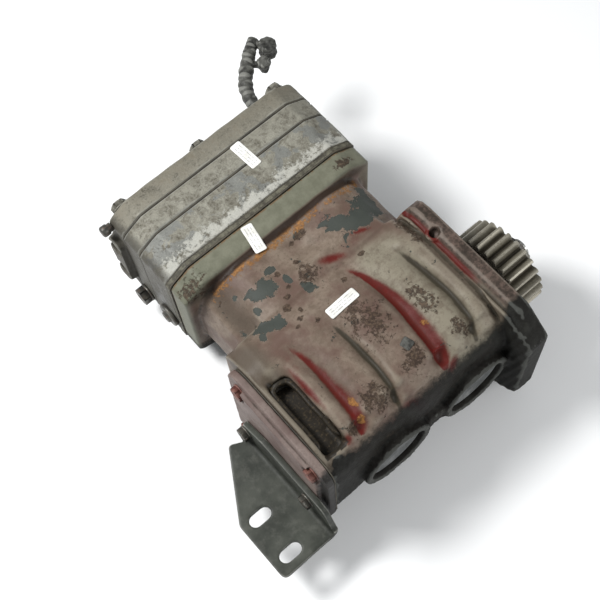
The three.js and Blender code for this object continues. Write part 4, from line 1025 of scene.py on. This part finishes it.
# Sintered bearing bronze, oily and faintly speckled, and the black rubber of the shaft seal.
give(finish("bearing_bronze_oiled", clouded(
    (8.0, 5.0, 0.6), (0.35, 0.7), ((0.36, 0.20, 0.075), (0.24, 0.125, 0.045)),
    (0.8, 4.0, 0.7), (0.58, 0.72, 0.6, (0.09, 0.045, 0.02)), (0.32, 0.2), (0.0, 0.04), Metallic=0.85)),
     "front_bearing", "rear_bearing")
give(finish("seal_rubber_black", clouded(
    (10.0, 5.0, 0.6), (0.4, 0.7), ((0.018, 0.018, 0.018), (0.040, 0.038, 0.034)),
    (1.0, 4.0, 0.7), None, (0.5, 0.25), (0.0, 0.05))), "shaft_seal")


# The unloader line: a short steel pipe out of the cover that ends in a screwed union, all of it under a
# thick ribbed coat of grease.
def greasy_look(place):
    """Grey black grease with grit in it, its ridges lighter: partly rubbed, partly a painted sheen."""
    broad = place.grain(10.0, 6.0, 0.65)
    speck = place.grain(1.6, 5.0, 0.72)
    edge = place.mark("edge")
    coat = broad.rise(0.35, 0.68).over((0.018, 0.018, 0.016), (0.100, 0.100, 0.089))
    # Lighter ridges: partly rubbed grease, partly painted sheen.
    coat = ((edge + (speck - 0.5) * 0.6).rise(0.45, 0.9) * 0.55).over(coat, (0.26, 0.26, 0.235))
    coat = (speck.rise(0.56, 0.7) * 0.6).over(coat, (0.03, 0.028, 0.022))
    return {"Base Color": coat, "Roughness": 0.40 + 0.3 * speck, "Specular IOR Level": 0.3}, (
        0.3 * speck + 0.4 * broad)


pipe_grease = finish("pipe_grease", greasy_look)
PIPE_RUN = [(77, 262.6), (77, 276), (79, 290), (86, 304), (97, 316), (110, 328), (119, 335), (127, 340.5)]
PIPE_Y = -45.0
run = curve_points(PIPE_RUN, 10)
form = bmesh.new()
edge_layer = form.verts.layers.float.new("edge")
rings = []
PIPE_SIDES = 28
PIPE_RADIUS = 6.1
MOST_GREASE = 1.4
for step, (spot_x, spot_z) in enumerate(run):
    before, after = run[max(step - 1, 0)], run[min(step + 1, len(run) - 1)]
    heading = Vector((after[0] - before[0], 0, after[1] - before[1])).normalized()
    across = Vector((0, 1, 0)).cross(heading)
    ring = []
    swollen = MOST_GREASE * math.sin(math.pi * step / (len(run) - 1)) ** 2
    for side in range(PIPE_SIDES):
        turn = 2 * math.pi * side / PIPE_SIDES
        rib = 0.45 * math.sin(step * 1.3 + 0.9 * math.sin(turn + step * 0.3))
        rib += 0.4 * math.sin(2 * turn + step * 0.5)
        reach = PIPE_RADIUS + swollen + rib * min(1.0, swollen)
        reach *= 1.0 if 0 < step < len(run) - 1 else 0.8
        spot = form.verts.new(Vector((spot_x, PIPE_Y, spot_z)) + reach * (
            math.cos(turn) * across + math.sin(turn) * Vector((0, 1, 0))))
        spot[edge_layer] = 0.5 + rib
        ring.append(spot)
    rings.append(ring)
join(form, rings)
form.faces.new(rings[0])
form.faces.new(rings[-1])
pipe_mesh = mesh_of("unloader_pipe_greased", form)
place_piece("unloader_pipe_greased", pipe_mesh, pipe_grease, "housing", ["unloader_pipe"])


FITTING_FACET = 0.8


def lumpy(name, node, seat, along, profile, neck):
    """A turned fitting under grease, with a neck that reaches into the pipe."""
    form = bmesh.new()
    lathe(form, Matrix.Translation(seat) @ basis(along), profile, 40)
    start, end, radius = neck
    stalk = Vector(end) - Vector(start)
    length = stalk.length
    lathe(form, Matrix.Translation(start) @ basis(stalk),
          [(0, 0), (radius, 0), (radius * 0.85, length / 2), (radius, length), (0, length)], 24)
    cast = Skin(fine_skin(name, closed(form), FITTING_FACET))
    cast.rub(4)
    normals = cast.normals()
    x, y, z = cast.points.T
    lumps = np.sin(x * 0.8 + 2 * np.sin(z * 0.5)) * np.sin(y * 0.7 + z * 0.6)
    cast.points += normals * (0.5 * lumps)[:, None]
    cast.mark("edge", ramp(cast.relief(6), 0.05, 0.6))
    cast.store()
    place_piece(name, cast.mesh, pipe_grease, "housing", [node])


lumpy("pipe_union_greased", "pipe_union", (131, -54.5, 322.5), (0, 1, 0),
      [(0, 0), (7.5, 0), (9.2, 1.6), (9.6, 5), (8.4, 7.5), (8.4, 12), (9.6, 14.5), (9.2, 18), (7.5, 19),
       (0, 19)],
      ((129, -45, 326), (125.5, -45, 335.5), 5.0))
lumpy("union_screw_greased", "union_bolt", (115, -53.5, 309), (0, 1, 0),
      [(0, 0), (6.2, 0), (7.2, 1.2), (7.3, 6), (5.4, 7), (5.4, 15.5), (0, 16)],
      ((113, -45.5, 311), (106, -45, 319), 4.2))


# The paper labels: three blank warehouse stickers, one with an end curling up off the case, with plain grey
# rules.
def label_look(place):
    """White paper, slightly soiled, with broken grey rules that say nothing."""
    down = place.mark("down")
    across = place.mark("across")
    soil = place.grain(9.0, 5.0)
    paper = soil.rise(0.4, 0.75).over((0.80, 0.80, 0.76), (0.56, 0.55, 0.50))
    rule = (down.band(0.22, 0.30, 0.02) | down.band(0.46, 0.54, 0.02)) | down.band(0.70, 0.78, 0.02)
    dashes = place.grain(1.6, 2.0).rise(0.42, 0.5)
    rule = rule * dashes * across.band(0.1, 0.9, 0.02)
    paper = (rule * 0.6).over(paper, (0.18, 0.18, 0.18))
    return {"Base Color": paper, "Roughness": 0.55 + 0.15 * soil}, 0.04 * soil


label_paper = finish("label_paper", label_look)


def tree_of(*pieces):
    """A search tree over some pieces' faces, in machine millimetres."""
    points, faces = [], []
    back = lying.inverted()
    for made in pieces:
        start = len(points)
        points += [back @ corner.co for corner in made.data.vertices]
        faces += [[start + index for index in face.vertices] for face in made.data.polygons]
    return BVHTree.FromPolygons(points, faces)


surface = tree_of(case, *head_pieces)


def near_surface(x, z):
    """Where the seen side stands at this place."""
    return surface.ray_cast(Vector((x, -120, z)), Vector((0, 1, 0)))[0]


def near_by(levels):
    """A grid of levels and the same grid moved a step each way."""
    rows, columns = levels.shape
    padded = np.pad(levels, 1, mode="edge")
    return [padded[1 + a:rows + 1 + a, 1 + b:columns + 1 + b] for a in (-1, 0, 1) for b in (-1, 0, 1)]


PAPER_THICK = 0.16


def sticker(name, middle_x, middle_z, wide, tall, turn, curl=0.0):
    """A small paper label laid on the near side: wide across its lines, tall down them."""
    form = bmesh.new()
    down_layer = form.verts.layers.float.new("down")
    across_layer = form.verts.layers.float.new("across")
    cos, sin = math.cos(math.radians(turn)), math.sin(math.radians(turn))
    columns, rows = 30, 12
    spots = np.zeros((rows + 1, columns + 1, 4))
    levels = np.zeros((rows + 1, columns + 1))
    for row in range(rows + 1):
        for column in range(columns + 1):
            u, v = column / columns - 0.5, row / rows - 0.5
            corner = max(0.0, abs(u) * wide - wide / 2 + 1.5) * max(0.0, abs(v) * tall - tall / 2 + 1.5)
            shrink = 1 - 0.02 * corner
            spot_x = middle_x + (u * wide * cos - v * tall * sin) * shrink
            spot_z = middle_z + (u * wide * sin + v * tall * cos) * shrink
            hit = near_surface(spot_x, spot_z)
            spots[row, column] = spot_x, spot_z, u, v
            levels[row, column] = hit.y if hit else -70.0
    # Stiff paper bridges small hollows: each point takes the proudest level near it, then all are evened.
    for _ in range(3):
        levels = np.minimum.reduce(near_by(levels))
    for _ in range(4):
        levels = sum(near_by(levels)) / 9
    faces = []
    for thick in (0.0, PAPER_THICK):
        net = []
        for row in range(rows + 1):
            line = []
            for column in range(columns + 1):
                spot_x, spot_z, u, v = spots[row, column]
                lift = 0.3 + thick + curl * ramp(np.array([u]), 0.2, 0.5)[0]
                spot = form.verts.new((spot_x, max(levels[row, column] - lift, -SIDE - thick / 2), spot_z))
                spot[down_layer], spot[across_layer] = v + 0.5, u + 0.5
                line.append(spot)
            net.append(line)
        faces.append(net)
    under, upper = faces
    for row in range(rows):
        for column in range(columns):
            form.faces.new((upper[row][column], upper[row][column + 1], upper[row + 1][column + 1],
                            upper[row + 1][column]))
            form.faces.new((under[row + 1][column], under[row + 1][column + 1], under[row][column + 1],
                            under[row][column]))
    rim = ([(0, column) for column in range(columns)] + [(row, columns) for row in range(rows)]
           + [(rows, column) for column in range(columns, 0, -1)] + [(row, 0) for row in range(rows, 0, -1)])
    for (row_a, column_a), (row_b, column_b) in zip(rim, rim[1:] + rim[:1]):
        form.faces.new((under[row_a][column_a], under[row_b][column_b], upper[row_b][column_b],
                        upper[row_a][column_a]))
    place_piece(name, mesh_of(name, form), label_paper, "housing")


sticker("paper_label_1", 25, 226, 33, 12, -86)
sticker("paper_label_2", -26, 153, 31, 12, -100, curl=1.5)
sticker("paper_label_3", -10, 46, 34, 11, 2)

# The oil gallery plug: a small square headed screw in the middle of the near wall.
form = bmesh.new()
PLUG_X, PLUG_Z = 7, -21
PLUG_SINK = 1.6
seat_y = max(near_surface(PLUG_X, PLUG_Z).y + PLUG_SINK, -81.0)
plug_place = Matrix.Translation((PLUG_X, seat_y, PLUG_Z)) @ basis((0, -1, 0)) @ Matrix.Rotation(0.3, 4, "Z")


def square_reach(radius, height, turn):
    part = ((turn + math.pi / 4) % (math.pi / 2)) - math.pi / 4
    return min(radius / math.cos(part), radius * 1.28), height


lathe(form, plug_place, [(0, 0), (5.4, 0), (5.4, 2.2), (4.9, 2.9), (4.4, 3.0), (0, 3.0)], 64, square_reach)
place_piece("oil_gallery_plug", mesh_of("oil_gallery_plug", form), pipe_grease, "housing")
